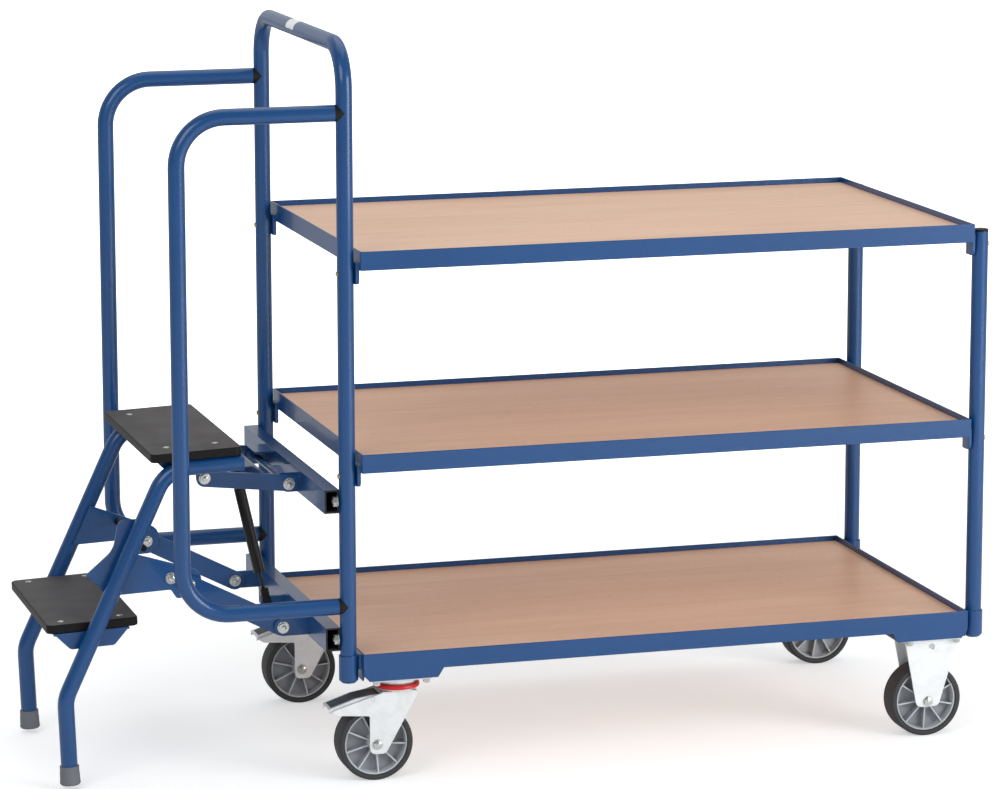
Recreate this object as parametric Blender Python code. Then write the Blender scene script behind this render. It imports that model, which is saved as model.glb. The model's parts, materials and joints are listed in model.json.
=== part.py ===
"""Order picking trolley: three boarded trays on castors, with a sprung two-step ladder at the handle end.

Metres, +Z up. X runs from the ladder to the far end, -Y is the near side, and the floor is Z = 0.
Places are worked out from the line of the left posts (X = 0), and the whole trolley is then moved
so that the origin lies on the floor below the middle of its outer box.
"""

import math

import bmesh
import bpy
from mathutils import Matrix, Vector

# Stock, gaps and facets
TUBE_DIAMETER = 0.028
TUBE_WALL = 0.002
SEAT_GAP = 0.0003
WELD_DEPTH = 0.001
CUT_OVERRUN = 0.002
MERGE_DISTANCE = 0.00001
TUBE_SIDES = 16
BEND_STEPS = 6
CORNER_STEPS = 4
WHEEL_SIDES = 24
PIN_SIDES = 12
SMOOTH_ANGLE = math.radians(35)
END_ROUND_SHARE = 0.95

# Trays and posts
TRAY_LENGTH = 1.090
TRAY_WIDTH = 0.640
POST_INSET = 0.025
LUG_REACH = 0.006
TRAY_DEPTH = 0.032
TRAY_SHEET = 0.003
TRAY_LEDGE = 0.025
BOARD_THICKNESS = 0.019
BOARD_SIDE_GAP = 0.0005
BOTTOM_TRAY_TOP = 0.228
TRAY_PITCH = 0.341
LUG_TOP_DROP = 0.020
LUG_HEIGHT = 0.037
LUG_WIDTH = 0.028
LUG_ROUND = 0.009
SOCKET_WALL = 0.0022
SOCKET_FLOOR = 0.004
SOCKET_DROP = 0.052
SOCKET_TOP_DROP = 0.004
SOCKET_ROUND = 0.005
SOCKET_WEB_WIDTH = 0.018
MOUNT_LENGTH = 0.130
MOUNT_WIDTH = 0.108
MOUNT_SHEET = 0.004
MOUNT_DROP = 0.016
MOUNT_CHAMFER = 0.010

# Push handle and handrails
HANDLE_TOP = 1.261
HANDLE_BEND = 0.072
RIGHT_POST_DROP = 0.016
PLUG_CAP = 0.004
PLUG_DEPTH = 0.012
RAIL_REACH = 0.282
RAIL_TOP_DROP = 0.123
RAIL_BOTTOM_LIFT = 0.080
RAIL_BEND = 0.080
SADDLE_LENGTH = 0.003
SADDLE_TIP = 0.0015

# Castors
WHEEL_DIAMETER = 0.130
TYRE_WIDTH = 0.045
TYRE_INNER_RADIUS = 0.0575
RIM_WIDTH = 0.038
RIM_WALL = 0.005
HUB_RADIUS = 0.014
HUB_WIDTH = 0.047
WEB_THICKNESS = 0.005
SPOKE_COUNT = 9
SPOKE_THICKNESS = 0.0032
AXLE_RADIUS = 0.005
AXLE_HEAD_RADIUS = 0.009
AXLE_HEAD_HEIGHT = 0.005
FORK_SHEET = 0.003
FORK_SIDE_GAP = 0.002
FORK_FRONT_REACH = 0.013
FORK_BACK_REACH = 0.029
FORK_SHOULDER_DROP = 0.004
FORK_TIP_HALF = 0.015
FORK_TIP_DROP = 0.017
FORK_TIP_ROUND = 0.010
WING_REACH = 0.069
WING_TIP_DROP = 0.027
WING_HEEL_REACH = 0.057
WING_HEEL_DROP = 0.0345
WING_ROOT_DROP = 0.039
WING_ROUND = 0.003
PLATE_LENGTH = 0.105
PLATE_WIDTH = 0.085
PLATE_SHEET = 0.004
RACE_RADIUS = 0.036
RACE_HEIGHT = 0.010
CROWN_RADIUS = 0.032
CROWN_HEIGHT = 0.012
BRIDGE_SHEET = 0.004
TRAIL = 0.041
SWIVEL_INSET = 0.070
FIXED_INSET = 0.063
CASTOR_SIDE_INSET = 0.052
FIXED_FORK_LEAD = 0.006
FIXED_FORK_HALF_TOP = 0.051
FIXED_TIP_HALF = 0.0205
FIXED_TIP_DROP = 0.010
KEYHOLE_RADIUS = 0.0050
KEYHOLE_DROP = 0.0135
PEDAL_TAIL_REACH = 0.0135
PEDAL_TAIL_RISE = 0.0067
PEDAL_CREST_REACH = 0.005
PEDAL_CREST_RISE = 0.0058
PEDAL_KNEE_REACH = 0.029
PEDAL_KNEE_RISE = 0.0018
PEDAL_LENGTH = 0.075
PEDAL_FALL = 0.0134
PEDAL_SIDE_GAP = 0.002
PEDAL_SHEET = 0.0025
PEDAL_SKIRT = 0.008
PEDAL_PIN_RADIUS = 0.003

# Cross tubes and linkage
CROSS_WIDTH = 0.025
CROSS_HEIGHT = 0.040
CROSS_WALL = 0.003
CROSS_OVERHANG = 0.002
UPPER_CROSS_DROP = 0.061
LOWER_CROSS_LIFT = 0.004
ARM_SHEET = 0.005
LUG_SHEET = 0.006
LUG_FLANGE_WIDTH = 0.068
UPPER_ARM_INSET = 0.0627
UPPER_PIVOT_REACH = 0.0212
UPPER_ARM_REACH = 0.1465
UPPER_ARM_RISE = 0.0185
UPPER_ARM_END_RADIUS = 0.0135
UPPER_ARM_HEEL = 0.0145
UPPER_WEB_REACH = 0.035
LOWER_PIVOT_REACH = 0.0472
LOWER_ARM_REACH = 0.1595
LOWER_ARM_RISE = 0.083
LOWER_ARM_RADIUS = 0.0165
LUG_END_RADIUS = 0.015
PIVOT_RADIUS = 0.006
PIVOT_HEAD_RADIUS = 0.0105
PIVOT_HEAD_HEIGHT = 0.006
OPEN_PIVOT_GAP = 0.0006
GAS_EYE_REACH = 0.062
GAS_EYE_DROP = 0.005
GAS_FOOT_REACH = 0.0317
GAS_LUG_SHEET = 0.007
GAS_LUG_RADIUS = 0.011
GAS_BODY_RADIUS = 0.010
GAS_ROD_RADIUS = 0.003
GAS_BORE_GAP = 0.0005
GAS_PIN_RADIUS = 0.004
GAS_FORK_CHEEK = 0.004
GAS_FORK_RADIUS = 0.007
GAS_FORK_LENGTH = 0.012
GAS_NECK_GAP = 0.004
GAS_ROD_SHOWN = 0.030
GAS_ROD_HIDDEN = 0.070
GAS_BORE_SPARE = 0.020

# Ladder
LADDER_INSET = 0.104
LADDER_TILT = math.radians(2.13)
LADDER_TOP_RISE = 0.0343
LADDER_TUBE_LEAD = 0.055
LADDER_LEG_REACH = 0.2689
LADDER_KNEE_HEIGHT = 0.165
LADDER_LEAN = math.radians(27.18)
LADDER_BEND = 0.060
FOOT_LIFT = 0.0183
FOOT_FLOOR = 0.006
FOOT_HEIGHT = 0.032
FOOT_WALL = 0.0035
TREAD_DEPTH = 0.156
TREAD_THICKNESS = 0.015
TREAD_ROUND = 0.012
UPPER_TREAD_INSET = 0.0025
STEP_RUN = 0.187
STEP_RISE = 0.280
CARRIER_SHEET = 0.004
CARRIER_INSET = 0.011
CARRIER_DEPTH = 0.129
CARRIER_CHEEK = 0.025
CARRIER_NOSE_INSET = 0.027
CARRIER_ROUND = 0.010
HANGER_SHEET = 0.006
HANGER_RADIUS = 0.013
GUSSET_SHEET = 0.005
GUSSET_END_RADIUS = 0.022
GUSSET_TOP_RISES = (0.066, 0.074)
GUSSET_BOTTOM_RISES = (-0.006, 0.0066)
GUSSET_NECK_REACH = 0.031
GUSSET_NECK_ROUND = 0.006
LOBE_TOP_RISE = 0.121
LOBE_TOP_WIDTH = 0.041
LOBE_TOP_ROUND = 0.012
LOBE_NECK_RISE = 0.072
LOBE_NECK_WIDTH = 0.027
LOBE_NECK_ROUND = 0.040
LOBE_TOE_RISE = 0.034
LOBE_TOE_WIDTH = 0.056
STOP_RADIUS = 0.006
STOP_END_GAP = 0.1134
STOP_BACK = 0.051
STOP_RISE = 0.042

tube_radius = TUBE_DIAMETER / 2
tray_left = tube_radius + LUG_REACH
tray_right = tray_left + TRAY_LENGTH
tray_half_width = TRAY_WIDTH / 2
tray_tops = [BOTTOM_TRAY_TOP + TRAY_PITCH * level for level in range(3)]
post_spacing = tray_right + LUG_REACH + tube_radius
post_half_width = tray_half_width - POST_INSET
socket_radius = tube_radius + SEAT_GAP + SOCKET_WALL
socket_bottom = BOTTOM_TRAY_TOP - SOCKET_DROP
post_bottom = socket_bottom + SOCKET_FLOOR + SEAT_GAP

wheel_radius = WHEEL_DIAMETER / 2
hub_height = wheel_radius * math.cos(math.pi / WHEEL_SIDES)
mount_bottom = BOTTOM_TRAY_TOP - TRAY_DEPTH - MOUNT_DROP
castor_top = mount_bottom - SEAT_GAP
fork_inner = HUB_WIDTH / 2 + FORK_SIDE_GAP
fork_outer = fork_inner + FORK_SHEET
pedal_half_width = fork_inner - PEDAL_SIDE_GAP
castor_y = tray_half_width - CASTOR_SIDE_INSET
swivel_x = tray_left + SWIVEL_INSET
trailing_x = swivel_x - TRAIL
fixed_x = tray_right - FIXED_INSET

cross_right = -tube_radius - SEAT_GAP
cross_left = cross_right - CROSS_WIDTH
cross_half_length = post_half_width + CROSS_OVERHANG
upper_cross_z = tray_tops[1] - UPPER_CROSS_DROP - CROSS_HEIGHT / 2
lower_cross_z = tray_tops[0] + LOWER_CROSS_LIFT + CROSS_HEIGHT / 2
frame_upper_pivot = (cross_left - UPPER_PIVOT_REACH, upper_cross_z)
frame_lower_pivot = (cross_left - LOWER_PIVOT_REACH, lower_cross_z)
ladder_upper_pivot = (frame_upper_pivot[0] - UPPER_ARM_REACH, frame_upper_pivot[1] + UPPER_ARM_RISE)
ladder_lower_pivot = (frame_lower_pivot[0] - LOWER_ARM_REACH, frame_lower_pivot[1] + LOWER_ARM_RISE)
gas_top = (frame_upper_pivot[0] - GAS_EYE_REACH, frame_upper_pivot[1] - GAS_EYE_DROP)
gas_foot = (cross_left - GAS_FOOT_REACH, lower_cross_z)

ladder_y = post_half_width - LADDER_INSET
ladder_inside = ladder_y - tube_radius - SEAT_GAP
gusset_inside = ladder_inside - GUSSET_SHEET
lower_arm_inside = ladder_inside + SEAT_GAP
lower_arm_outside = lower_arm_inside + ARM_SHEET
upper_arm_inside = ladder_y - UPPER_ARM_INSET
upper_arm_outside = upper_arm_inside + ARM_SHEET
tilt_cos = math.cos(LADDER_TILT)
tilt_sin = math.sin(LADDER_TILT)
pivot_run = ladder_lower_pivot[0] - ladder_upper_pivot[0]
pivot_rise = ladder_lower_pivot[1] - ladder_upper_pivot[1]
level_lower_pivot = (
    ladder_upper_pivot[0] + pivot_run * tilt_cos + pivot_rise * tilt_sin,
    ladder_upper_pivot[1] + pivot_rise * tilt_cos - pivot_run * tilt_sin,
)
ladder_top_z = ladder_upper_pivot[1] + LADDER_TOP_RISE
leg_x = ladder_upper_pivot[0] - LADDER_LEG_REACH
lean = math.tan(LADDER_LEAN)
tube_end_x = ladder_upper_pivot[0] + LADDER_TUBE_LEAD
upper_tread_bottom = ladder_top_z + tube_radius + SEAT_GAP
upper_tread_back = tube_end_x - UPPER_TREAD_INSET
upper_tread_front = upper_tread_back - TREAD_DEPTH
lower_tread_bottom = upper_tread_bottom - STEP_RISE
lower_tread_front = upper_tread_front - STEP_RUN

nose_run = lower_tread_front - ladder_upper_pivot[0]
nose_rise = lower_tread_bottom + TREAD_THICKNESS - ladder_upper_pivot[1]
left_end = ladder_upper_pivot[0] + nose_run * tilt_cos - nose_rise * tilt_sin
origin_x = (left_end + post_spacing + socket_radius) / 2

PAINT = ("blue_paint", (0.020, 0.090, 0.300), 0.35, 0.0)
BEECH = ("beech_board", (0.750, 0.520, 0.350), 0.55, 0.0)
BLACK = ("black_plastic", (0.012, 0.012, 0.013), 0.50, 0.0)
TREAD = ("step_covering", (0.045, 0.042, 0.043), 0.70, 0.0)
ZINC = ("zinc_plate", (0.700, 0.730, 0.730), 0.30, 0.9)
RUBBER = ("grey_tyre", (0.070, 0.070, 0.075), 0.75, 0.0)
RIM = ("grey_rim", (0.180, 0.190, 0.210), 0.50, 0.0)
FOOT = ("grey_foot", (0.130, 0.140, 0.150), 0.75, 0.0)


def clear_scene():
    """Removes whatever the scene holds at the start."""
    for old in list(bpy.data.objects):
        bpy.data.objects.remove(old, do_unlink=True)


def material(finish):
    """The Principled material of a finish, made once."""
    name, colour, roughness, metallic = finish
    found = bpy.data.materials.get(name)
    if found:
        return found
    made = bpy.data.materials.new(name)
    made.use_nodes = True
    shader = made.node_tree.nodes["Principled BSDF"]
    shader.inputs["Base Color"].default_value = (*colour, 1.0)
    shader.inputs["Roughness"].default_value = roughness
    shader.inputs["Metallic"].default_value = metallic
    made.diffuse_color = (*colour, 1.0)
    return made


def add_object(name, data, finish):
    """Links a new object that carries its own finish."""
    made = bpy.data.objects.new(name, data)
    bpy.context.scene.collection.objects.link(made)
    made.data.materials.append(material(finish))
    return made


def add_mesh(name, bm, finish):
    """Turns a bmesh into an object whose faces point outwards."""
    bmesh.ops.recalc_face_normals(bm, faces=bm.faces)
    mesh = bpy.data.meshes.new(name)
    bm.to_mesh(mesh)
    bm.free()
    return add_object(name, mesh, finish)


def rounded(corners, steps=CORNER_STEPS):
    """An outline with each corner (a, b, radius) turned into an arc, or left sharp at radius zero."""
    outline = []
    for index, (a, b, radius) in enumerate(corners):
        here = Vector((a, b))
        if not radius:
            outline.append(tuple(here))
            continue
        before = Vector(corners[index - 1][:2]) - here
        after = Vector(corners[(index + 1) % len(corners)][:2]) - here
        half_angle = before.angle(after) / 2
        before.normalize()
        after.normalize()
        centre = here + (before + after).normalized() * (radius / math.sin(half_angle))
        start = here + before * (radius / math.tan(half_angle)) - centre
        sweep = math.pi - 2 * half_angle
        turn = 1 if start.y * before.x - start.x * before.y > 0 else -1
        for step in range(steps + 1):
            angle = turn * sweep * step / steps
            spoke = Vector((
                start.x * math.cos(angle) - start.y * math.sin(angle),
                start.x * math.sin(angle) + start.y * math.cos(angle),
            ))
            outline.append(tuple(centre + spoke))
    return outline


def circle(centre, radius, steps=PIN_SIDES):
    """The points of a circle."""
    return [
        (
            centre[0] + radius * math.cos(2 * math.pi * step / steps),
            centre[1] + radius * math.sin(2 * math.pi * step / steps),
        )
        for step in range(steps)
    ]


def link_outline(first, first_radius, second, second_radius, steps=2 * CORNER_STEPS):
    """The outline of a bar with round ends about two centres, joined by their outer tangents."""
    first, second = Vector(first), Vector(second)
    along = second - first
    heading = math.atan2(along.y, along.x)
    tilt = math.asin((first_radius - second_radius) / along.length)
    outline = []
    for centre, radius, start, sweep in (
        (first, first_radius, heading + math.pi / 2 - tilt, math.pi + 2 * tilt),
        (second, second_radius, heading - math.pi / 2 + tilt, math.pi - 2 * tilt),
    ):
        for step in range(steps + 1):
            angle = start + sweep * step / steps
            outline.append((centre.x + radius * math.cos(angle), centre.y + radius * math.sin(angle)))
    return outline


def prism(name, outline, axis, low, high, finish):
    """Extrudes an outline along X, Y or Z. The outline holds the other two coordinates in order."""
    place = {
        "X": lambda a, b, at: (at, a, b),
        "Y": lambda a, b, at: (a, at, b),
        "Z": lambda a, b, at: (a, b, at),
    }[axis]
    bm = bmesh.new()
    face = bm.faces.new([bm.verts.new(place(a, b, low)) for a, b in outline])
    grown = bmesh.ops.extrude_face_region(bm, geom=[face])["geom"]
    travel = Vector(place(0, 0, high)) - Vector(place(0, 0, low))
    bmesh.ops.translate(bm, verts=[v for v in grown if isinstance(v, bmesh.types.BMVert)], vec=travel)
    return add_mesh(name, bm, finish)


def box(name, low, high, finish):
    """A box between two corners."""
    outline = [(low[0], low[1]), (high[0], low[1]), (high[0], high[1]), (low[0], high[1])]
    return prism(name, outline, "Z", low[2], high[2], finish)


def turned(name, profile, centre, axis, finish, steps=PIN_SIDES, start=0.0):
    """Spins a closed profile of (radius, height) points about an axis through the centre."""
    bm = bmesh.new()
    verts = [bm.verts.new((radius, 0, height)) for radius, height in profile]
    edges = [
        bm.edges.new((vert, verts[(index + 1) % len(verts)]))
        for index, vert in enumerate(verts)
        if profile[index][0] or profile[(index + 1) % len(verts)][0]
    ]
    bmesh.ops.spin(bm, geom=verts + edges, axis=(0, 0, 1), cent=(0, 0, 0), angle=2 * math.pi, steps=steps)
    bmesh.ops.remove_doubles(bm, verts=bm.verts, dist=MERGE_DISTANCE)
    bmesh.ops.rotate(bm, verts=bm.verts, cent=(0, 0, 0), matrix=Matrix.Rotation(start, 3, "Z"))
    turn = {"X": Matrix.Rotation(math.pi / 2, 3, "Y"), "Y": Matrix.Rotation(-math.pi / 2, 3, "X")}
    if axis in turn:
        bmesh.ops.rotate(bm, verts=bm.verts, cent=(0, 0, 0), matrix=turn[axis])
    bmesh.ops.translate(bm, verts=bm.verts, vec=centre)
    return smooth(add_mesh(name, bm, finish))


def smooth(obj):
    """Shades a round piece smooth but keeps its sharp edges."""
    obj.data.shade_smooth()
    obj.data.set_sharp_from_angle(angle=SMOOTH_ANGLE)
    return obj


def bend_path(points, radius):
    """A polyline with each inner corner turned into an arc."""
    points = [Vector(point) for point in points]
    path = [points[0]]
    for before, corner, after in zip(points, points[1:], points[2:]):
        back = (before - corner).normalized()
        ahead = (after - corner).normalized()
        half_angle = back.angle(ahead) / 2
        centre = corner + (back + ahead).normalized() * (radius / math.sin(half_angle))
        start = corner + back * (radius / math.tan(half_angle)) - centre
        axis = back.cross(start).normalized()
        sweep = math.pi - 2 * half_angle
        steps = max(2, round(BEND_STEPS * sweep / (math.pi / 2)))
        for step in range(steps + 1):
            path.append(centre + Matrix.Rotation(sweep * step / steps, 3, axis) @ start)
    path.append(points[-1])
    return path


def tube(name, points, bend, finish):
    """A bent round tube, open at both ends."""
    curve = bpy.data.curves.new(name, "CURVE")
    curve.dimensions = "3D"
    path = bend_path(points, bend)
    spline = curve.splines.new("POLY")
    spline.points.add(len(path) - 1)
    for point, place in zip(spline.points, path):
        point.co = (*place, 1.0)
    curve.bevel_depth = tube_radius
    curve.bevel_resolution = (TUBE_SIDES - 4) // 2
    made = add_object(name, curve, finish)
    wall = made.modifiers.new("wall", "SOLIDIFY")
    wall.thickness = TUBE_WALL
    wall.offset = -1.0
    return made


def boolean(obj, other, operation):
    """Applies one Boolean to the object and removes the other."""
    step = obj.modifiers.new(operation.lower(), "BOOLEAN")
    step.operation = operation
    step.object = other
    bpy.context.view_layer.objects.active = obj
    bpy.ops.object.modifier_apply(modifier=step.name)
    bpy.data.objects.remove(other, do_unlink=True)


def weld(obj, *pieces):
    """Joins pieces to the object as one body."""
    for piece in pieces:
        boolean(obj, piece, "UNION")
    return obj


def cut(obj, *cutters):
    """Takes the cutters out of the object."""
    for cutter in cutters:
        boolean(obj, cutter, "DIFFERENCE")
    return obj


def hole(centre, radius, low, high):
    """A round cutter along Y for a hole at (x, z)."""
    return prism("hole", circle(centre, radius), "Y", low - CUT_OVERRUN, high + CUT_OVERRUN, ZINC)


def bolt(name, centre, inner, outer, side, radius, head_radius, head_height):
    """A bolt along Y at (x, z): its head stands outside the outer face and its nut inside the inner one."""
    tip = inner - SEAT_GAP - head_height
    profile = [
        (0, tip),
        (head_radius, tip),
        (head_radius, inner - SEAT_GAP),
        (radius, inner - SEAT_GAP),
        (radius, outer + SEAT_GAP),
        (head_radius, outer + SEAT_GAP),
        (head_radius, outer + SEAT_GAP + head_height),
        (0, outer + SEAT_GAP + head_height),
    ]
    if side < 0:
        profile = [(r, -h) for r, h in profile]
    return turned(name, profile, (centre[0], 0, centre[1]), "Y", ZINC)


def seat(obj, root, pivot=(0, 0, 0)):
    """Moves the object's origin to its pivot and parents it to the trolley."""
    obj.data.transform(Matrix.Translation(-Vector(pivot)))
    obj.location = pivot
    obj.parent = root
    return obj


def build_posts(root):
    """The push frame, a tube that forms both left posts and the handle, and the two short right posts."""
    handle_z = HANDLE_TOP - tube_radius
    near, far = -post_half_width, post_half_width
    arch = [(0, near, post_bottom), (0, near, handle_z), (0, far, handle_z), (0, far, post_bottom)]
    seat(tube("push_frame", arch, HANDLE_BEND, PAINT), root)
    post_top = tray_tops[2] - RIGHT_POST_DROP
    bore = tube_radius - TUBE_WALL - SEAT_GAP
    for label, y in (("near", near), ("far", far)):
        ends = [(post_spacing, y, post_bottom), (post_spacing, y, post_top)]
        seat(tube(f"right_post_{label}", ends, HANDLE_BEND, PAINT), root)
        base = post_top + SEAT_GAP
        profile = [
            (0, base + PLUG_CAP),
            (tube_radius - PLUG_CAP / 4, base + PLUG_CAP),
            (tube_radius, base + PLUG_CAP / 2),
            (tube_radius, base),
            (bore, base),
            (bore, base - PLUG_DEPTH),
            (0, base - PLUG_DEPTH),
        ]
        seat(turned(f"post_plug_{label}", profile, (post_spacing, y, 0), "Z", BLACK, TUBE_SIDES), root)


def tray_ring(name, top):
    """The angle-section ring of a tray: an upright wall all round and a ledge for the board."""
    bottom = top - TRAY_DEPTH
    section = [
        (0, top),
        (TRAY_SHEET, top),
        (TRAY_SHEET, bottom + TRAY_SHEET),
        (TRAY_LEDGE, bottom + TRAY_SHEET),
        (TRAY_LEDGE, bottom),
        (0, bottom),
    ]
    bm = bmesh.new()
    rings = []
    for x_sign, y_sign in ((-1, -1), (1, -1), (1, 1), (-1, 1)):
        ring = []
        for inset, z in section:
            x = tray_left + inset if x_sign < 0 else tray_right - inset
            ring.append(bm.verts.new((x, y_sign * (tray_half_width - inset), z)))
        rings.append(ring)
    count = len(section)
    for index, ring in enumerate(rings):
        following = rings[(index + 1) % len(rings)]
        for point in range(count):
            after = (point + 1) % count
            bm.faces.new((ring[point], following[point], following[after], ring[after]))
    return add_mesh(name, bm, PAINT)


def post_lugs(top):
    """The four small blocks that bridge from a tray's end walls to the posts."""
    high = top - LUG_TOP_DROP
    low = high - LUG_HEIGHT
    made = []
    for end in (0, 1):
        wall = tray_left if end == 0 else tray_right
        post = tube_radius + SEAT_GAP if end == 0 else post_spacing - tube_radius - SEAT_GAP
        inside = wall + WELD_DEPTH if end == 0 else wall - WELD_DEPTH
        for y_sign in (-1, 1):
            inner = y_sign * (post_half_width - LUG_WIDTH / 2)
            outer = y_sign * (post_half_width + LUG_WIDTH / 2)
            outline = rounded([(inner, high, 0), (outer, high, 0), (outer, low, LUG_ROUND), (inner, low, 0)])
            made.append(prism("lug", outline, "X", min(post, inside), max(post, inside), PAINT))
    return made


def post_sockets():
    """The four cups below the bottom tray that hold the posts, each with its web to the tray."""
    top = BOTTOM_TRAY_TOP - SOCKET_TOP_DROP
    bore = tube_radius + SEAT_GAP
    profile = [
        (0, socket_bottom),
        (socket_radius - SOCKET_ROUND, socket_bottom),
        (socket_radius, socket_bottom + SOCKET_ROUND),
        (socket_radius, top),
        (bore, top),
        (bore, socket_bottom + SOCKET_FLOOR),
        (0, socket_bottom + SOCKET_FLOOR),
    ]
    made = []
    for end, x in ((0, 0), (1, post_spacing)):
        wall = tray_left + WELD_DEPTH if end == 0 else tray_right - WELD_DEPTH
        cup = x + bore + WELD_DEPTH if end == 0 else x - bore - WELD_DEPTH
        for y_sign in (-1, 1):
            y = y_sign * post_half_width
            low = (min(wall, cup), y - SOCKET_WEB_WIDTH / 2, BOTTOM_TRAY_TOP - TRAY_DEPTH + TRAY_SHEET)
            high = (max(wall, cup), y + SOCKET_WEB_WIDTH / 2, top - TRAY_SHEET)
            made.append(turned("cup", profile, (x, y, 0), "Z", PAINT, TUBE_SIDES))
            made.append(box("web", low, high, PAINT))
    return made


def castor_corners():
    """The deeper corners of the bottom tray: a plate for the castor with a skirt on two sides."""
    ring_bottom = BOTTOM_TRAY_TOP - TRAY_DEPTH
    skirt_top = ring_bottom + TRAY_SHEET
    made = []
    for end in (0, 1):
        outer_x = tray_left if end == 0 else tray_right
        inward = 1 if end == 0 else -1
        inner_x = outer_x + inward * MOUNT_LENGTH
        side = [
            (outer_x, ring_bottom),
            (outer_x, skirt_top),
            (inner_x + inward * MOUNT_CHAMFER, skirt_top),
            (inner_x + inward * MOUNT_CHAMFER, ring_bottom),
            (inner_x, mount_bottom),
            (outer_x + inward * MOUNT_CHAMFER, mount_bottom),
        ]
        for y_sign in (-1, 1):
            outer_y = y_sign * tray_half_width
            wall_y = y_sign * (tray_half_width - TRAY_SHEET)
            inner_y = y_sign * (tray_half_width - MOUNT_WIDTH)
            made.append(prism("skirt", side, "Y", min(outer_y, wall_y), max(outer_y, wall_y), PAINT))
            edge = [
                (outer_y, skirt_top),
                (outer_y, ring_bottom),
                (outer_y - y_sign * MOUNT_CHAMFER, mount_bottom),
                (inner_y, mount_bottom),
                (inner_y, skirt_top),
            ]
            wall_x = outer_x + inward * TRAY_SHEET
            made.append(prism("end_skirt", edge, "X", min(outer_x, wall_x), max(outer_x, wall_x), PAINT))
            shelf_x = outer_x + inward * MOUNT_CHAMFER
            shelf = [(shelf_x, inner_y), (inner_x, inner_y), (inner_x, wall_y), (shelf_x, wall_y)]
            made.append(prism("shelf", shelf, "Z", mount_bottom, mount_bottom + MOUNT_SHEET, PAINT))
    return made


def build_trays(root):
    """Three trays with their boards. The bottom one also has the post sockets and the castor corners."""
    for label, top in zip(("bottom", "middle", "top"), tray_tops):
        tray = weld(tray_ring(f"tray_{label}", top), *([] if label == "bottom" else post_lugs(top)))
        if label == "bottom":
            weld(tray, *post_sockets(), *castor_corners())
        seat(tray, root)
        inset = TRAY_SHEET + BOARD_SIDE_GAP
        rest = top - TRAY_DEPTH + TRAY_SHEET + SEAT_GAP
        low = (tray_left + inset, -tray_half_width + inset, rest)
        high = (tray_right - inset, tray_half_width - inset, rest + BOARD_THICKNESS)
        seat(box(f"board_{label}", low, high, BEECH), root)


def build_handrails(root):
    """Two C-shaped handrails, each held to its post by a scooped saddle at the top and bottom."""
    post_face = -tube_radius - SEAT_GAP
    tube_end = post_face - SADDLE_LENGTH - SEAT_GAP
    rail_top = HANDLE_TOP - RAIL_TOP_DROP
    rail_bottom = BOTTOM_TRAY_TOP + RAIL_BOTTOM_LIFT
    for label, y in (("near", -post_half_width), ("far", post_half_width)):
        points = [
            (tube_end, y, rail_top),
            (-RAIL_REACH, y, rail_top),
            (-RAIL_REACH, y, rail_bottom),
            (tube_end, y, rail_bottom),
        ]
        seat(tube(f"handrail_{label}", points, RAIL_BEND, PAINT), root)
        for level, z in (("top", rail_top), ("bottom", rail_bottom)):
            start = post_face - SADDLE_LENGTH
            profile = [(0, start), (tube_radius, start), (tube_radius, -SADDLE_TIP), (0, -SADDLE_TIP)]
            block = turned(f"saddle_{level}_{label}", profile, (0, y, z), "X", BLACK, TUBE_SIDES)
            reach = tube_radius + CUT_OVERRUN
            post = [(0, z - reach), (-post_face, z - reach), (-post_face, z + reach), (0, z + reach)]
            cut(block, turned("post", post, (0, y, 0), "Z", BLACK, TUBE_SIDES))
            seat(block, root)


def build_wheel(root, label, x, y):
    """One wheel: a ribbed plastic rim on its axle hole, and a solid tyre."""
    half = TYRE_WIDTH / 2
    shoulder = (wheel_radius - TYRE_INNER_RADIUS) / 4
    tyre = [
        (TYRE_INNER_RADIUS, -half + shoulder),
        (TYRE_INNER_RADIUS, half - shoulder),
        (TYRE_INNER_RADIUS + shoulder, half),
        (wheel_radius - shoulder, half),
        (wheel_radius, half - 2 * shoulder),
        (wheel_radius, -half + 2 * shoulder),
        (wheel_radius - shoulder, -half),
        (TYRE_INNER_RADIUS + shoulder, -half),
    ]
    pivot = (x, y, hub_height)
    start = math.pi / WHEEL_SIDES
    seat(turned(f"tyre_{label}", tyre, pivot, "Y", RUBBER, WHEEL_SIDES, start), root, pivot)
    outer = TYRE_INNER_RADIUS - SEAT_GAP
    inner = outer - RIM_WALL
    bore = AXLE_RADIUS + SEAT_GAP
    rim = [
        (bore, -HUB_WIDTH / 2),
        (HUB_RADIUS, -HUB_WIDTH / 2),
        (HUB_RADIUS, -WEB_THICKNESS / 2),
        (inner, -WEB_THICKNESS / 2),
        (inner, -RIM_WIDTH / 2),
        (outer, -RIM_WIDTH / 2),
        (outer, RIM_WIDTH / 2),
        (inner, RIM_WIDTH / 2),
        (inner, WEB_THICKNESS / 2),
        (HUB_RADIUS, WEB_THICKNESS / 2),
        (HUB_RADIUS, HUB_WIDTH / 2),
        (bore, HUB_WIDTH / 2),
    ]
    disc = turned(f"rim_{label}", rim, pivot, "Y", RIM, WHEEL_SIDES, start)
    ribs = []
    rib_half = RIM_WIDTH / 2 - SPOKE_THICKNESS
    for index in range(SPOKE_COUNT):
        spin = Matrix.Rotation(2 * math.pi * (index + 1 / 2) / SPOKE_COUNT, 4, "Y")
        low = (HUB_RADIUS - WELD_DEPTH, -rib_half, -SPOKE_THICKNESS / 2)
        high = (inner + WELD_DEPTH, rib_half, SPOKE_THICKNESS / 2)
        rib = box("rib", low, high, RIM)
        rib.data.transform(Matrix.Translation(pivot) @ spin)
        ribs.append(rib)
    seat(weld(disc, *ribs), root, pivot)


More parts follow.
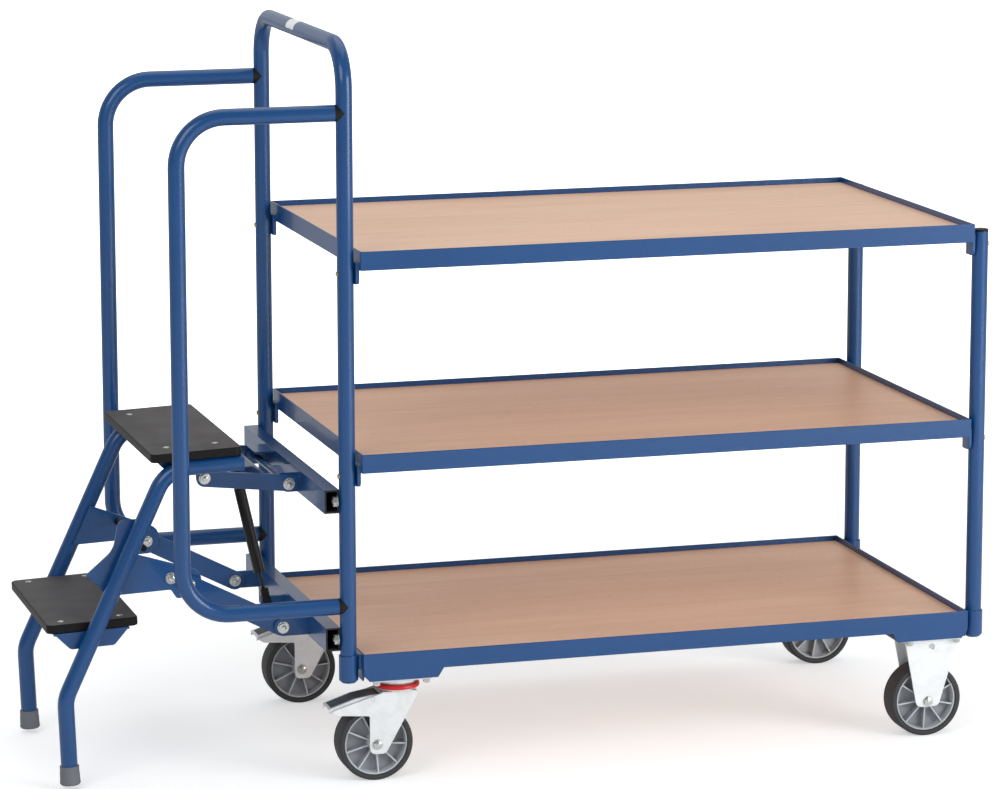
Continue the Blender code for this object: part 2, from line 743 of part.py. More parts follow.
def fork_legs(x, y, corners):
    """Both legs of a castor's fork, from one outline of (x, z) points."""
    return [
        prism("leg", corners, "Y", y + min(side), y + max(side), ZINC)
        for side in ((fork_inner, fork_outer), (-fork_inner, -fork_outer))
    ]


def wheel_axle(root, name, x, y, pivot):
    """The bolt that carries a wheel between its fork's legs."""
    made = bolt(name, (x, hub_height), -fork_outer, fork_outer, 1, AXLE_RADIUS, AXLE_HEAD_RADIUS, AXLE_HEAD_HEIGHT)
    made.data.transform(Matrix.Translation((0, y, 0)))
    return seat(made, root, pivot)


def castor_plate(name, x, y):
    """The top plate that bolts a castor to the bottom tray."""
    low = (x - PLATE_LENGTH / 2, y - PLATE_WIDTH / 2, castor_top - PLATE_SHEET)
    high = (x + PLATE_LENGTH / 2, y + PLATE_WIDTH / 2, castor_top)
    corners = [(low[0], low[1]), (high[0], low[1]), (high[0], high[1]), (low[0], high[1])]
    outline = rounded([(a, b, 2 * PLATE_SHEET) for a, b in corners])
    return prism(name, outline, "Z", low[2], high[2], ZINC)


def build_swivel_castor(root, label, y):
    """A castor that swivels, with a brake pedal. Its wheel trails behind the swivel axis, to the left."""
    race_bottom = castor_top - PLATE_SHEET - RACE_HEIGHT
    race = [
        (0, castor_top - PLATE_SHEET / 2),
        (RACE_RADIUS, castor_top - PLATE_SHEET / 2),
        (RACE_RADIUS, race_bottom + RACE_HEIGHT / 3),
        (RACE_RADIUS - RACE_HEIGHT / 3, race_bottom),
        (0, race_bottom),
    ]
    plate = castor_plate(f"castor_plate_{label}", swivel_x, y)
    seat(weld(plate, turned("race", race, (swivel_x, y, 0), "Z", ZINC)), root)

    crown_top = race_bottom - SEAT_GAP
    crown_bottom = crown_top - CROWN_HEIGHT
    crown = [(0, crown_top), (CROWN_RADIUS, crown_top), (CROWN_RADIUS, crown_bottom), (0, crown_bottom)]
    fork = turned(f"castor_fork_{label}", crown, (swivel_x, y, 0), "Z", ZINC, TUBE_SIDES)
    bridge_bottom = crown_bottom - BRIDGE_SHEET
    back = swivel_x + FORK_BACK_REACH
    front = trailing_x - FORK_FRONT_REACH
    bridge_front = swivel_x - CROWN_RADIUS
    bridge_low = (bridge_front, y - fork_outer, bridge_bottom)
    bridge_high = (back, y + fork_outer, crown_bottom + WELD_DEPTH)
    leg = rounded([
        (bridge_front, crown_bottom, 0),
        (back, crown_bottom, 0),
        (back, bridge_bottom - FORK_SHOULDER_DROP, FORK_SHOULDER_DROP),
        (trailing_x + FORK_TIP_HALF, hub_height - FORK_TIP_DROP, FORK_TIP_ROUND),
        (front, hub_height - FORK_TIP_DROP, FORK_TIP_ROUND),
        (front, crown_bottom - WING_ROOT_DROP, WING_ROUND),
        (front - WING_HEEL_REACH, crown_bottom - WING_HEEL_DROP, WING_ROUND),
        (front - WING_REACH, crown_bottom - WING_TIP_DROP, WING_ROUND),
    ])
    weld(fork, box("bridge", bridge_low, bridge_high, ZINC), *fork_legs(trailing_x, y, leg))
    cut(fork, hole((trailing_x, hub_height), AXLE_RADIUS + SEAT_GAP, y - fork_outer, y + fork_outer))
    pin = (front + PEDAL_PIN_RADIUS * 2, bridge_bottom - PEDAL_PIN_RADIUS * 2)
    cut(fork, hole(pin, PEDAL_PIN_RADIUS + SEAT_GAP, y - fork_outer, y + fork_outer))
    seat(fork, root, (swivel_x, y, 0))
    wheel_axle(root, f"castor_axle_{label}", trailing_x, y, (swivel_x, y, 0))
    build_pedal(root, label, y, pin)
    build_wheel(root, f"swivel_{label}", trailing_x, y)


def build_pedal(root, label, y, pin):
    """The brake pedal: a pressed channel that tips about a pin in the fork's front corner."""
    half = pedal_half_width
    pin_x, pin_z = pin
    tail = (pin_x + PEDAL_TAIL_REACH, pin_z + PEDAL_TAIL_RISE)
    crest = (pin_x - PEDAL_CREST_REACH, pin_z + PEDAL_CREST_RISE)
    knee = (pin_x - PEDAL_KNEE_REACH, pin_z + PEDAL_KNEE_RISE)
    tip = (pin_x - PEDAL_LENGTH, pin_z - PEDAL_FALL)
    top = [tail, crest, knee, tip]
    skirt_low = pin_z - 2 * PEDAL_PIN_RADIUS
    skirt = top + [
        (tip[0], tip[1] - PEDAL_SKIRT),
        (knee[0], knee[1] - PEDAL_SKIRT),
        (crest[0], skirt_low),
        (tail[0], skirt_low),
    ]
    sheet = top + [(x, z - PEDAL_SHEET) for x, z in reversed(top)]
    pedal = prism(f"brake_pedal_{label}", sheet, "Y", y - half, y + half, ZINC)
    cheeks = [
        prism("cheek", skirt, "Y", y + min(side), y + max(side), ZINC)
        for side in ((half - PEDAL_SHEET, half), (PEDAL_SHEET - half, -half))
    ]
    reach = fork_outer + SEAT_GAP
    profile = [(0, -reach), (PEDAL_PIN_RADIUS, -reach), (PEDAL_PIN_RADIUS, reach), (0, reach)]
    shaft = turned("pedal_pin", profile, (pin_x, y, pin_z), "Y", ZINC)
    seat(weld(pedal, *cheeks, shaft), root, (pin_x, y, pin_z))


def build_fixed_castor(root, label, y):
    """A castor with a rigid fork."""
    plate_x = fixed_x + FIXED_FORK_LEAD
    fork = castor_plate(f"fixed_fork_{label}", plate_x, y)
    leg_top = castor_top - PLATE_SHEET / 2
    leg = rounded([
        (plate_x - FIXED_FORK_HALF_TOP, leg_top, 0),
        (plate_x + FIXED_FORK_HALF_TOP, leg_top, 0),
        (fixed_x + FIXED_TIP_HALF, hub_height - FIXED_TIP_DROP, FIXED_TIP_DROP),
        (fixed_x - FIXED_TIP_HALF, hub_height - FIXED_TIP_DROP, FIXED_TIP_DROP),
    ])
    weld(fork, *fork_legs(fixed_x, y, leg))
    keyhole = (plate_x, castor_top - PLATE_SHEET - KEYHOLE_DROP)
    for centre, radius in (((fixed_x, hub_height), AXLE_RADIUS + SEAT_GAP), (keyhole, KEYHOLE_RADIUS)):
        cut(fork, hole(centre, radius, y - fork_outer, y + fork_outer))
    seat(fork, root)
    wheel_axle(root, f"fixed_axle_{label}", fixed_x, y, (fixed_x, y, hub_height))
    build_wheel(root, f"fixed_{label}", fixed_x, y)


def cross_tube(name, z):
    """A rectangular tube across the two left posts, open at both ends."""
    low = (cross_left, -cross_half_length, z - CROSS_HEIGHT / 2)
    high = (cross_right, cross_half_length, z + CROSS_HEIGHT / 2)
    bore_low = (low[0] + CROSS_WALL, low[1] - CUT_OVERRUN, low[2] + CROSS_WALL)
    bore_high = (high[0] - CROSS_WALL, high[1] + CUT_OVERRUN, high[2] - CROSS_WALL)
    return cut(box(name, low, high, PAINT), box("bore", bore_low, bore_high, PAINT))


def frame_lug(pivot, z, inner, thickness, radius, pin_radius):
    """A lug on a cross tube's ladder side, with a round end about its pivot hole."""
    root_x = cross_left + WELD_DEPTH
    corners = [
        (root_x, z - radius, 0),
        (root_x, z + radius, 0),
        (pivot[0] - radius, z + radius, radius * END_ROUND_SHARE),
        (pivot[0] - radius, z - radius, radius * END_ROUND_SHARE),
    ]
    outline = rounded(corners)
    low, high = min(inner, inner + thickness), max(inner, inner + thickness)
    made = prism("lug", outline, "Y", low, high, PAINT)
    return cut(made, hole(pivot, pin_radius + SEAT_GAP, low, high))


def build_cross_tubes(root):
    """The two cross tubes with the lugs that carry the arms and the gas spring's foot."""
    upper = cross_tube("cross_tube_upper", upper_cross_z)
    lower = cross_tube("cross_tube_lower", lower_cross_z)
    upper_lug_outside = upper_arm_inside - SEAT_GAP
    lower_lug_inside = lower_arm_outside + SEAT_GAP
    flange_top = upper_cross_z + LUG_END_RADIUS + ARM_SHEET
    for side in (-1, 1):
        weld(upper, frame_lug(frame_upper_pivot, upper_cross_z, side * (upper_lug_outside - LUG_SHEET),
                              side * LUG_SHEET, LUG_END_RADIUS, PIVOT_RADIUS))
        inner, outer = sorted((side * (upper_lug_outside - LUG_FLANGE_WIDTH), side * upper_lug_outside))
        flange_low = (frame_upper_pivot[0] - LUG_END_RADIUS, inner, flange_top - ARM_SHEET - WELD_DEPTH)
        flange_high = (cross_left + WELD_DEPTH, outer, flange_top - WELD_DEPTH)
        weld(upper, box("flange", flange_low, flange_high, PAINT))
        weld(lower, frame_lug(frame_lower_pivot, lower_cross_z, side * lower_lug_inside,
                              side * LUG_SHEET, LUG_END_RADIUS, PIVOT_RADIUS))
    weld(lower, frame_lug(gas_foot, lower_cross_z, -GAS_LUG_SHEET / 2, GAS_LUG_SHEET,
                          GAS_LUG_RADIUS, GAS_PIN_RADIUS))
    seat(upper, root)
    seat(lower, root)
    reach = upper_arm_outside
    for name, pivot in (("upper_arm_axle", frame_upper_pivot), ("ladder_axle", ladder_upper_pivot)):
        pin = bolt(name, pivot, -reach, reach, 1, PIVOT_RADIUS, PIVOT_HEAD_RADIUS, PIVOT_HEAD_HEIGHT)
        seat(pin, root, (pivot[0], 0, pivot[1]))
    for label, side in (("near", -1), ("far", 1)):
        pin = bolt(f"lower_arm_bolt_{label}", frame_lower_pivot, lower_arm_inside, lower_lug_inside + LUG_SHEET,
                   side, PIVOT_RADIUS, PIVOT_HEAD_RADIUS, PIVOT_HEAD_HEIGHT)
        seat(pin, root, (frame_lower_pivot[0], 0, frame_lower_pivot[1]))


def build_upper_arm(root):
    """The upper arm: two side plates joined by a web, with a lug for the gas spring."""
    x_a, z_a = frame_upper_pivot
    x_b, z_b = ladder_upper_pivot
    heel = x_a + UPPER_ARM_HEEL
    radius = UPPER_ARM_END_RADIUS
    outline = rounded([
        (x_b - radius, z_b - radius, radius * END_ROUND_SHARE),
        (heel, z_a - UPPER_ARM_HEEL, UPPER_ARM_HEEL / 2),
        (heel, z_a + UPPER_ARM_HEEL, UPPER_ARM_HEEL / 2),
        (x_b - radius, z_b + radius, radius * END_ROUND_SHARE),
    ])
    low, high = upper_arm_inside, upper_arm_outside
    arm = prism("upper_arm", outline, "Y", -high, -low, PAINT)
    web_x = x_a - UPPER_WEB_REACH
    web_low = (web_x - ARM_SHEET, -high + WELD_DEPTH, z_a - UPPER_ARM_HEEL + ARM_SHEET)
    web_high = (web_x, high - WELD_DEPTH, z_a + UPPER_ARM_HEEL + WELD_DEPTH)
    eye = [
        (web_x - WELD_DEPTH, gas_top[1] + GAS_LUG_RADIUS, 0),
        (web_x - WELD_DEPTH, gas_top[1] - GAS_LUG_RADIUS, 0),
        (gas_top[0] - GAS_LUG_RADIUS, gas_top[1] - GAS_LUG_RADIUS, GAS_LUG_RADIUS * END_ROUND_SHARE),
        (gas_top[0] - GAS_LUG_RADIUS, gas_top[1] + GAS_LUG_RADIUS, GAS_LUG_RADIUS * END_ROUND_SHARE),
    ]
    lug = prism("eye", rounded(eye), "Y", -GAS_LUG_SHEET / 2, GAS_LUG_SHEET / 2, PAINT)
    weld(arm, prism("side", outline, "Y", low, high, PAINT), box("web", web_low, web_high, PAINT))
    weld(arm, lug)
    cut(arm, hole(gas_top, GAS_PIN_RADIUS + OPEN_PIVOT_GAP, -GAS_LUG_SHEET, GAS_LUG_SHEET))
    for pivot in (frame_upper_pivot, ladder_upper_pivot):
        cut(arm, hole(pivot, PIVOT_RADIUS + SEAT_GAP, -high, high))
    seat(arm, root, (x_a, 0, z_a))


def build_lower_arms(root):
    """Two flat lower arms. Their ladder ends are the linkage's open pivot, so those holes are wider."""
    outline = link_outline(frame_lower_pivot, LOWER_ARM_RADIUS, ladder_lower_pivot, LOWER_ARM_RADIUS)
    for label, side in (("near", -1), ("far", 1)):
        low, high = sorted((side * lower_arm_inside, side * lower_arm_outside))
        arm = prism(f"lower_arm_{label}", outline, "Y", low, high, PAINT)
        cut(arm, hole(frame_lower_pivot, PIVOT_RADIUS + SEAT_GAP, low, high))
        cut(arm, hole(ladder_lower_pivot, PIVOT_RADIUS + OPEN_PIVOT_GAP, low, high))
        seat(arm, root, (frame_lower_pivot[0], 0, frame_lower_pivot[1]))


def gas_fork(name, finish):
    """A fork end about the origin that stands up along Z: two cheeks, their neck and the pin."""
    inner = GAS_LUG_SHEET / 2 + SEAT_GAP
    outer = inner + GAS_FORK_CHEEK
    neck_low = GAS_LUG_RADIUS + GAS_NECK_GAP
    neck = box(name, (-GAS_FORK_RADIUS, -outer, neck_low), (GAS_FORK_RADIUS, outer, neck_low + GAS_FORK_LENGTH), finish)
    cheek = rounded([
        (-GAS_FORK_RADIUS, neck_low + WELD_DEPTH, 0),
        (-GAS_FORK_RADIUS, -GAS_FORK_RADIUS, GAS_FORK_RADIUS * END_ROUND_SHARE),
        (GAS_FORK_RADIUS, -GAS_FORK_RADIUS, GAS_FORK_RADIUS * END_ROUND_SHARE),
        (GAS_FORK_RADIUS, neck_low + WELD_DEPTH, 0),
    ])
    cheeks = [prism("cheek", cheek, "Y", min(side), max(side), finish) for side in ((inner, outer), (-inner, -outer))]
    profile = [(0, -outer), (GAS_PIN_RADIUS, -outer), (GAS_PIN_RADIUS, outer), (0, outer)]
    return weld(neck, *cheeks, turned("pin", profile, (0, 0, 0), "Y", finish))


def build_gas_spring(root):
    """The gas spring: a cylinder hung from the upper arm and a rod that stands on the lower cross tube."""
    along = Vector(gas_top) - Vector(gas_foot)
    length = along.length
    tilt = math.atan2(along.x, along.y)
    fork_top = GAS_LUG_RADIUS + GAS_NECK_GAP + GAS_FORK_LENGTH
    rod_end = fork_top + GAS_ROD_SHOWN + GAS_ROD_HIDDEN
    rod_profile = [
        (0, fork_top - WELD_DEPTH),
        (GAS_ROD_RADIUS, fork_top - WELD_DEPTH),
        (GAS_ROD_RADIUS, rod_end),
        (0, rod_end),
    ]
    rod = weld(gas_fork("gas_spring_rod", BLACK), turned("rod", rod_profile, (0, 0, 0), "Z", BLACK))
    rod.location = (gas_foot[0], 0, gas_foot[1])
    rod.rotation_euler = (0, tilt, 0)
    rod.parent = root

    body_bottom = fork_top + GAS_ROD_SHOWN - length
    body_top = -fork_top + WELD_DEPTH
    bore = GAS_ROD_RADIUS + GAS_BORE_GAP
    bore_top = body_bottom + GAS_ROD_HIDDEN + GAS_BORE_SPARE
    body_profile = [
        (0, body_top),
        (GAS_BODY_RADIUS, body_top),
        (GAS_BODY_RADIUS, body_bottom),
        (bore, body_bottom),
        (bore, bore_top),
        (0, bore_top),
    ]
    fork = gas_fork("gas_spring_cylinder", BLACK)
    fork.data.transform(Matrix.Rotation(math.pi, 4, "Y"))
    cylinder = weld(fork, turned("body", body_profile, (0, 0, 0), "Z", BLACK))
    cylinder.location = (gas_top[0], 0, gas_top[1])
    cylinder.rotation_euler = (0, tilt, 0)
    cylinder.parent = root


def tread_outline(front, half_width):
    """The rounded rectangle of a step."""
    back = front + TREAD_DEPTH
    corners = [(front, -half_width), (back, -half_width), (back, half_width), (front, half_width)]
    return rounded([(x, y, TREAD_ROUND) for x, y in corners])


def leg_at(z):
    """The X of the slanted leg's middle line at a height, with the ladder level."""
    return leg_x + (z - LADDER_KNEE_HEIGHT) * lean


def gusset_outline(bottom_rise, top_rise):
    """A side plate from the leg to the lower pivot: wide where it is welded, with a round end at the pivot."""
    x, z = level_lower_pivot
    end = GUSSET_END_RADIUS
    low_z = z + bottom_rise
    high_z = z + top_rise
    return rounded([
        (leg_at(low_z), low_z, 0),
        (x - GUSSET_NECK_REACH, low_z, GUSSET_NECK_ROUND),
        (x - end, z - end, GUSSET_NECK_ROUND),
        (x + end, z - end, end * END_ROUND_SHARE),
        (x + end, z + end, end * END_ROUND_SHARE),
        (leg_at(high_z), high_z, 0),
    ])


def lobe_outline():
    """The part of the near gusset that stands out on the other side of its leg."""
    pivot_z = level_lower_pivot[1]
    top, neck, toe = pivot_z + LOBE_TOP_RISE, pivot_z + LOBE_NECK_RISE, pivot_z + LOBE_TOE_RISE
    foot = pivot_z + GUSSET_BOTTOM_RISES[0]
    return rounded([
        (leg_at(top), top, 0),
        (leg_at(top) - LOBE_TOP_WIDTH, top, LOBE_TOP_ROUND),
        (leg_at(neck) - LOBE_NECK_WIDTH, neck, LOBE_NECK_ROUND),
        (leg_at(toe) - LOBE_TOE_WIDTH, toe, 0),
        (leg_at(foot), foot, 0),
        (leg_at(foot) + GUSSET_END_RADIUS, foot, 0),
    ])


def seat_ladder(obj, root):
    """Tips a piece of the ladder, which is drawn level, to how it hangs at rest, and seats it."""
    pivot = Vector((ladder_upper_pivot[0], 0, ladder_upper_pivot[1]))
    tip = Matrix.Rotation(-LADDER_TILT, 4, "Y")
    obj.data.transform(Matrix.Translation(pivot) @ tip @ Matrix.Translation(-pivot))
    return seat(obj, root, pivot)


def build_ladder(root):
    """The two-step ladder: bent side tubes, gussets, tread carriers, treads, feet and its pivot pieces."""
    foot_seat = FOOT_LIFT + FOOT_FLOOR + SEAT_GAP
    cup = [
        (0, FOOT_LIFT),
        (tube_radius + FOOT_WALL - SOCKET_ROUND / 2, FOOT_LIFT),
        (tube_radius + FOOT_WALL, FOOT_LIFT + SOCKET_ROUND / 2),
        (tube_radius + FOOT_WALL / 2 + SEAT_GAP, FOOT_LIFT + FOOT_HEIGHT),
        (tube_radius + SEAT_GAP, FOOT_LIFT + FOOT_HEIGHT),
        (tube_radius + SEAT_GAP, FOOT_LIFT + FOOT_FLOOR),
        (0, FOOT_LIFT + FOOT_FLOOR),
    ]
    gusset_ends = list(zip(GUSSET_BOTTOM_RISES, GUSSET_TOP_RISES))
    for label, side, gusset_rises in (("near", -1, gusset_ends[0]), ("far", 1, gusset_ends[1])):
        y = side * ladder_y
        points = [
            (leg_x, y, foot_seat),
            (leg_x, y, LADDER_KNEE_HEIGHT),
            (leg_at(ladder_top_z), y, ladder_top_z),
            (tube_end_x, y, ladder_top_z),
        ]
        seat_ladder(tube(f"ladder_side_{label}", points, LADDER_BEND, PAINT), root)
        seat_ladder(turned(f"ladder_foot_{label}", cup, (leg_x, y, 0), "Z", FOOT, TUBE_SIDES), root)
        low, high = sorted((side * gusset_inside, side * ladder_inside))
        gusset = prism(f"gusset_{label}", gusset_outline(*gusset_rises), "Y", low, high, PAINT)
        if side < 0:
            weld(gusset, prism("lobe", lobe_outline(), "Y", low, high, PAINT))
        else:
            weld(gusset, stop_rod(low + WELD_DEPTH))
        cut(gusset, hole(level_lower_pivot, PIVOT_RADIUS + SEAT_GAP, low, high))
        seat_ladder(gusset, root)
        pin = bolt(f"ladder_bolt_{label}", level_lower_pivot, gusset_inside, lower_arm_outside,
                   side, PIVOT_RADIUS, PIVOT_HEAD_RADIUS, PIVOT_HEAD_HEIGHT)
        seat_ladder(pin, root)

    tread = prism("upper_tread", tread_outline(upper_tread_front, ladder_y + tube_radius), "Z",
                  upper_tread_bottom, upper_tread_bottom + TREAD_THICKNESS, TREAD)
    seat_ladder(tread, root)
    tread = prism("lower_tread", tread_outline(lower_tread_front, ladder_inside), "Z",
                  lower_tread_bottom, lower_tread_bottom + TREAD_THICKNESS, TREAD)
    seat_ladder(tread, root)
    build_carriers(root)


def stop_rod(far_y):
    """The stop that stands out from the far gusset's inner side."""
    x = level_lower_pivot[0] - STOP_BACK
    z = level_lower_pivot[1] + STOP_RISE
    near_y = STOP_END_GAP - gusset_inside
    profile = [(0, near_y), (STOP_RADIUS, near_y), (STOP_RADIUS, far_y), (0, far_y)]
    return turned("stop", profile, (x, 0, z), "Y", BLACK)


def carrier(name, tread_front, tread_bottom):
    """The sheet below a tread, which spans from one ladder side to the other, with a cheek at each end."""
    high = tread_bottom - SEAT_GAP
    low = high - CARRIER_SHEET - CARRIER_CHEEK
    front = tread_front + CARRIER_INSET
    back = front + CARRIER_DEPTH
    plate = box(name, (front, -ladder_inside, high - CARRIER_SHEET), (back, ladder_inside, high), PAINT)
    cheek = rounded([
        (front, high, 0),
        (front + CARRIER_NOSE_INSET, low, CARRIER_ROUND),
        (back - CARRIER_NOSE_INSET, low, CARRIER_ROUND),
        (back, high, 0),
    ])
    for side in (-1, 1):
        inner, outer = sorted((side * gusset_inside, side * ladder_inside))
        weld(plate, prism("cheek", cheek, "Y", inner, outer, PAINT))
    return plate


def build_carriers(root):
    """The two carriers below the treads. The upper one has the hangers for the ladder's axle."""
    lower = carrier("lower_carrier", lower_tread_front, lower_tread_bottom)
    upper = carrier("upper_carrier", upper_tread_front, upper_tread_bottom)
    ladder_x, ladder_z = ladder_upper_pivot
    hanger_top = upper_tread_bottom - SEAT_GAP - CARRIER_SHEET / 2
    radius = HANGER_RADIUS
    hanger = rounded([
        (ladder_x - radius, hanger_top, 0),
        (ladder_x - radius, ladder_z - radius, radius * END_ROUND_SHARE),
        (ladder_x + radius, ladder_z - radius, radius * END_ROUND_SHARE),
        (ladder_x + 2 * radius, hanger_top, 0),
    ])
    outside = upper_arm_inside - SEAT_GAP
    for side in (-1, 1):
        low, high = sorted((side * (outside - HANGER_SHEET), side * outside))
        hung = prism("hanger", hanger, "Y", low, high, PAINT)
        cut(hung, hole(ladder_upper_pivot, PIVOT_RADIUS + SEAT_GAP, low, high))
        weld(upper, hung)
    seat_ladder(lower, root)
    seat_ladder(upper, root)


def main():
    """Builds the whole trolley."""
    clear_scene()
    root = bpy.data.objects.new("trolley", None)
    bpy.context.scene.collection.objects.link(root)
    root.location = (-origin_x, 0, 0)
    build_posts(root)
    build_trays(root)
    build_handrails(root)
    for label, y in (("near", -castor_y), ("far", castor_y)):
        build_swivel_castor(root, label, y)
        build_fixed_castor(root, label, y)
    build_cross_tubes(root)
    build_upper_arm(root)
    build_lower_arms(root)
    build_gas_spring(root)
    build_ladder(root)


main()
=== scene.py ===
"""Order picking trolley: the fine shape and finish of every piece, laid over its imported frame.

Metres, +Z up. X runs from the ladder to the far end of the trays, and -Y is the near side.
Each sub-assembly is a class. It takes its places from the frame's own boxes, models its pieces and
dresses them in the finishes defined below.
"""

from __future__ import annotations

import json
import logging
import math
from collections.abc import Callable, Iterator, Sequence
from contextlib import contextmanager
from dataclasses import dataclass
from enum import Enum
from typing import Any

import bpy
from mathutils import Matrix, Vector


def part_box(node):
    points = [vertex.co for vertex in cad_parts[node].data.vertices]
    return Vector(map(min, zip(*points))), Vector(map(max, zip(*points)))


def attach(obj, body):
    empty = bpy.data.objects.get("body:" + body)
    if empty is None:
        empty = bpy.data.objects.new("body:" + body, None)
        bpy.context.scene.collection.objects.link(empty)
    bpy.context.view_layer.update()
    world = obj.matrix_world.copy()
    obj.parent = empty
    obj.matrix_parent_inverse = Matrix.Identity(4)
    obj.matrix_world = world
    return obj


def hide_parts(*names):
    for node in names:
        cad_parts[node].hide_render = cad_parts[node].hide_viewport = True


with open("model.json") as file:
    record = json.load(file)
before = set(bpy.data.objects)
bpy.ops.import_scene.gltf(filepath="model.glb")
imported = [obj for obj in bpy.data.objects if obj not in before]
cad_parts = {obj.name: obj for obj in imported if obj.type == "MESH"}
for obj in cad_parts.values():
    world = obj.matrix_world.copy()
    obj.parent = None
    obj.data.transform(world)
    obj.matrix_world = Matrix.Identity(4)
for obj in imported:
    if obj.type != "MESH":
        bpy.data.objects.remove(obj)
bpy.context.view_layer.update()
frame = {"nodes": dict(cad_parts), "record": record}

MERGE_DISTANCE = 0.00001
FLAT_ANGLE = math.radians(1.0)
SMOOTH_ANGLE = math.radians(40.0)
LATHE_ANGLE = math.radians(32.0)
HEXAGON_SIDES = 6
NOISE_MIDDLE = 0.5
EVEN = (1.0, 1.0, 1.0)
WHITE = (1.0, 1.0, 1.0, 1.0)
SCREEN_MAX = 255
SRGB_FOOT = 0.04045
SRGB_SLOPE = 12.92
SRGB_OFFSET = 0.055
SRGB_POWER = 2.4

Profile = Sequence[tuple[float, float]]
Place = Sequence[float]
Colour = tuple[float, float, float]
Rgba = tuple[float, float, float, float]
Piece = bpy.types.Object
Test = Callable[[Vector, Vector], bool]

log = logging.getLogger("trolley")


class Side(Enum):
    """The two long sides of the trolley, with the sign of Y on each."""

    NEAR = -1
    FAR = 1

    @property
    def label(self) -> str:
        """The side's name as the nodes spell it."""
        return self.name.lower()


class Axis(Enum):
    """The direction that a turned piece's own height runs in."""

    X = (0.0, math.pi / 2, 0.0)
    Y = (-math.pi / 2, 0.0, 0.0)
    Z = (0.0, 0.0, 0.0)


class Pick(Enum):
    """What edit mode selects."""

    VERTICES = (True, False, False)
    EDGES = (False, True, False)
    FACES = (False, False, True)


class Frame:
    """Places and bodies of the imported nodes."""

    def __init__(self) -> None:
        """Reads which body carries each node."""
        bodies = frame["record"]["behaviour"]["bodies"]
        self.body_of = {node: body for body, nodes in bodies.items() for node in nodes}

    def low(self, node: str) -> Vector:
        """The lowest corner of a node's box."""
        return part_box(node)[0]

    def high(self, node: str) -> Vector:
        """The highest corner of a node's box."""
        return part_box(node)[1]

    def centre(self, node: str) -> Vector:
        """The middle of a node's box."""
        return (self.low(node) + self.high(node)) / 2

    def half_width(self, node: str) -> float:
        """Half of a node's size along Y."""
        return (self.high(node).y - self.low(node).y) / 2

    def outside(self, node: str, side: Side) -> float:
        """Where a node's box ends along Y, on one side of the trolley."""
        return (self.low(node) if side is Side.NEAR else self.high(node)).y


PLACES = Frame()


class Wire:
    """A node's output that takes part in Python arithmetic."""

    def __init__(self, graph: Graph, socket: bpy.types.NodeSocket) -> None:
        """Wraps one output socket of a graph."""
        self.graph = graph
        self.socket = socket

    def _math(self, operation: str, *values: Wire | float) -> Wire:
        """Adds one Math node.

        Args:
            operation: The Math node's operation.
            values: Its inputs in order.

        Returns:
            The node's result.
        """
        return self.graph.node("ShaderNodeMath", {"operation": operation}, dict(enumerate(values)))

    def __add__(self, other: Wire | float) -> Wire:
        """This value plus another."""
        return self._math("ADD", self, other)

    def __radd__(self, other: float) -> Wire:
        """A number plus this value."""
        return self._math("ADD", other, self)

    def __sub__(self, other: Wire | float) -> Wire:
        """This value less another."""
        return self._math("SUBTRACT", self, other)

    def __rsub__(self, other: float) -> Wire:
        """A number less this value."""
        return self._math("SUBTRACT", other, self)

    def __mul__(self, other: Wire | float) -> Wire:
        """This value times another."""
        return self._math("MULTIPLY", self, other)

    def __rmul__(self, other: float) -> Wire:
        """A number times this value."""
        return self._math("MULTIPLY", other, self)

    def maximum(self, other: Wire | float) -> Wire:
        """The larger of this value and another."""
        return self._math("MAXIMUM", self, other)

    def above(self, limit: float, softness: float) -> Wire:
        """A mask that rises from 0 to 1 round a limit.

        Args:
            limit: The value at the middle of the rise.
            softness: Half the width of the rise.

        Returns:
            The mask.
        """
        inputs = {"Value": self, "From Min": limit - softness, "From Max": limit + softness}
        return self.graph.node("ShaderNodeMapRange", {"interpolation_type": "SMOOTHSTEP"}, inputs)


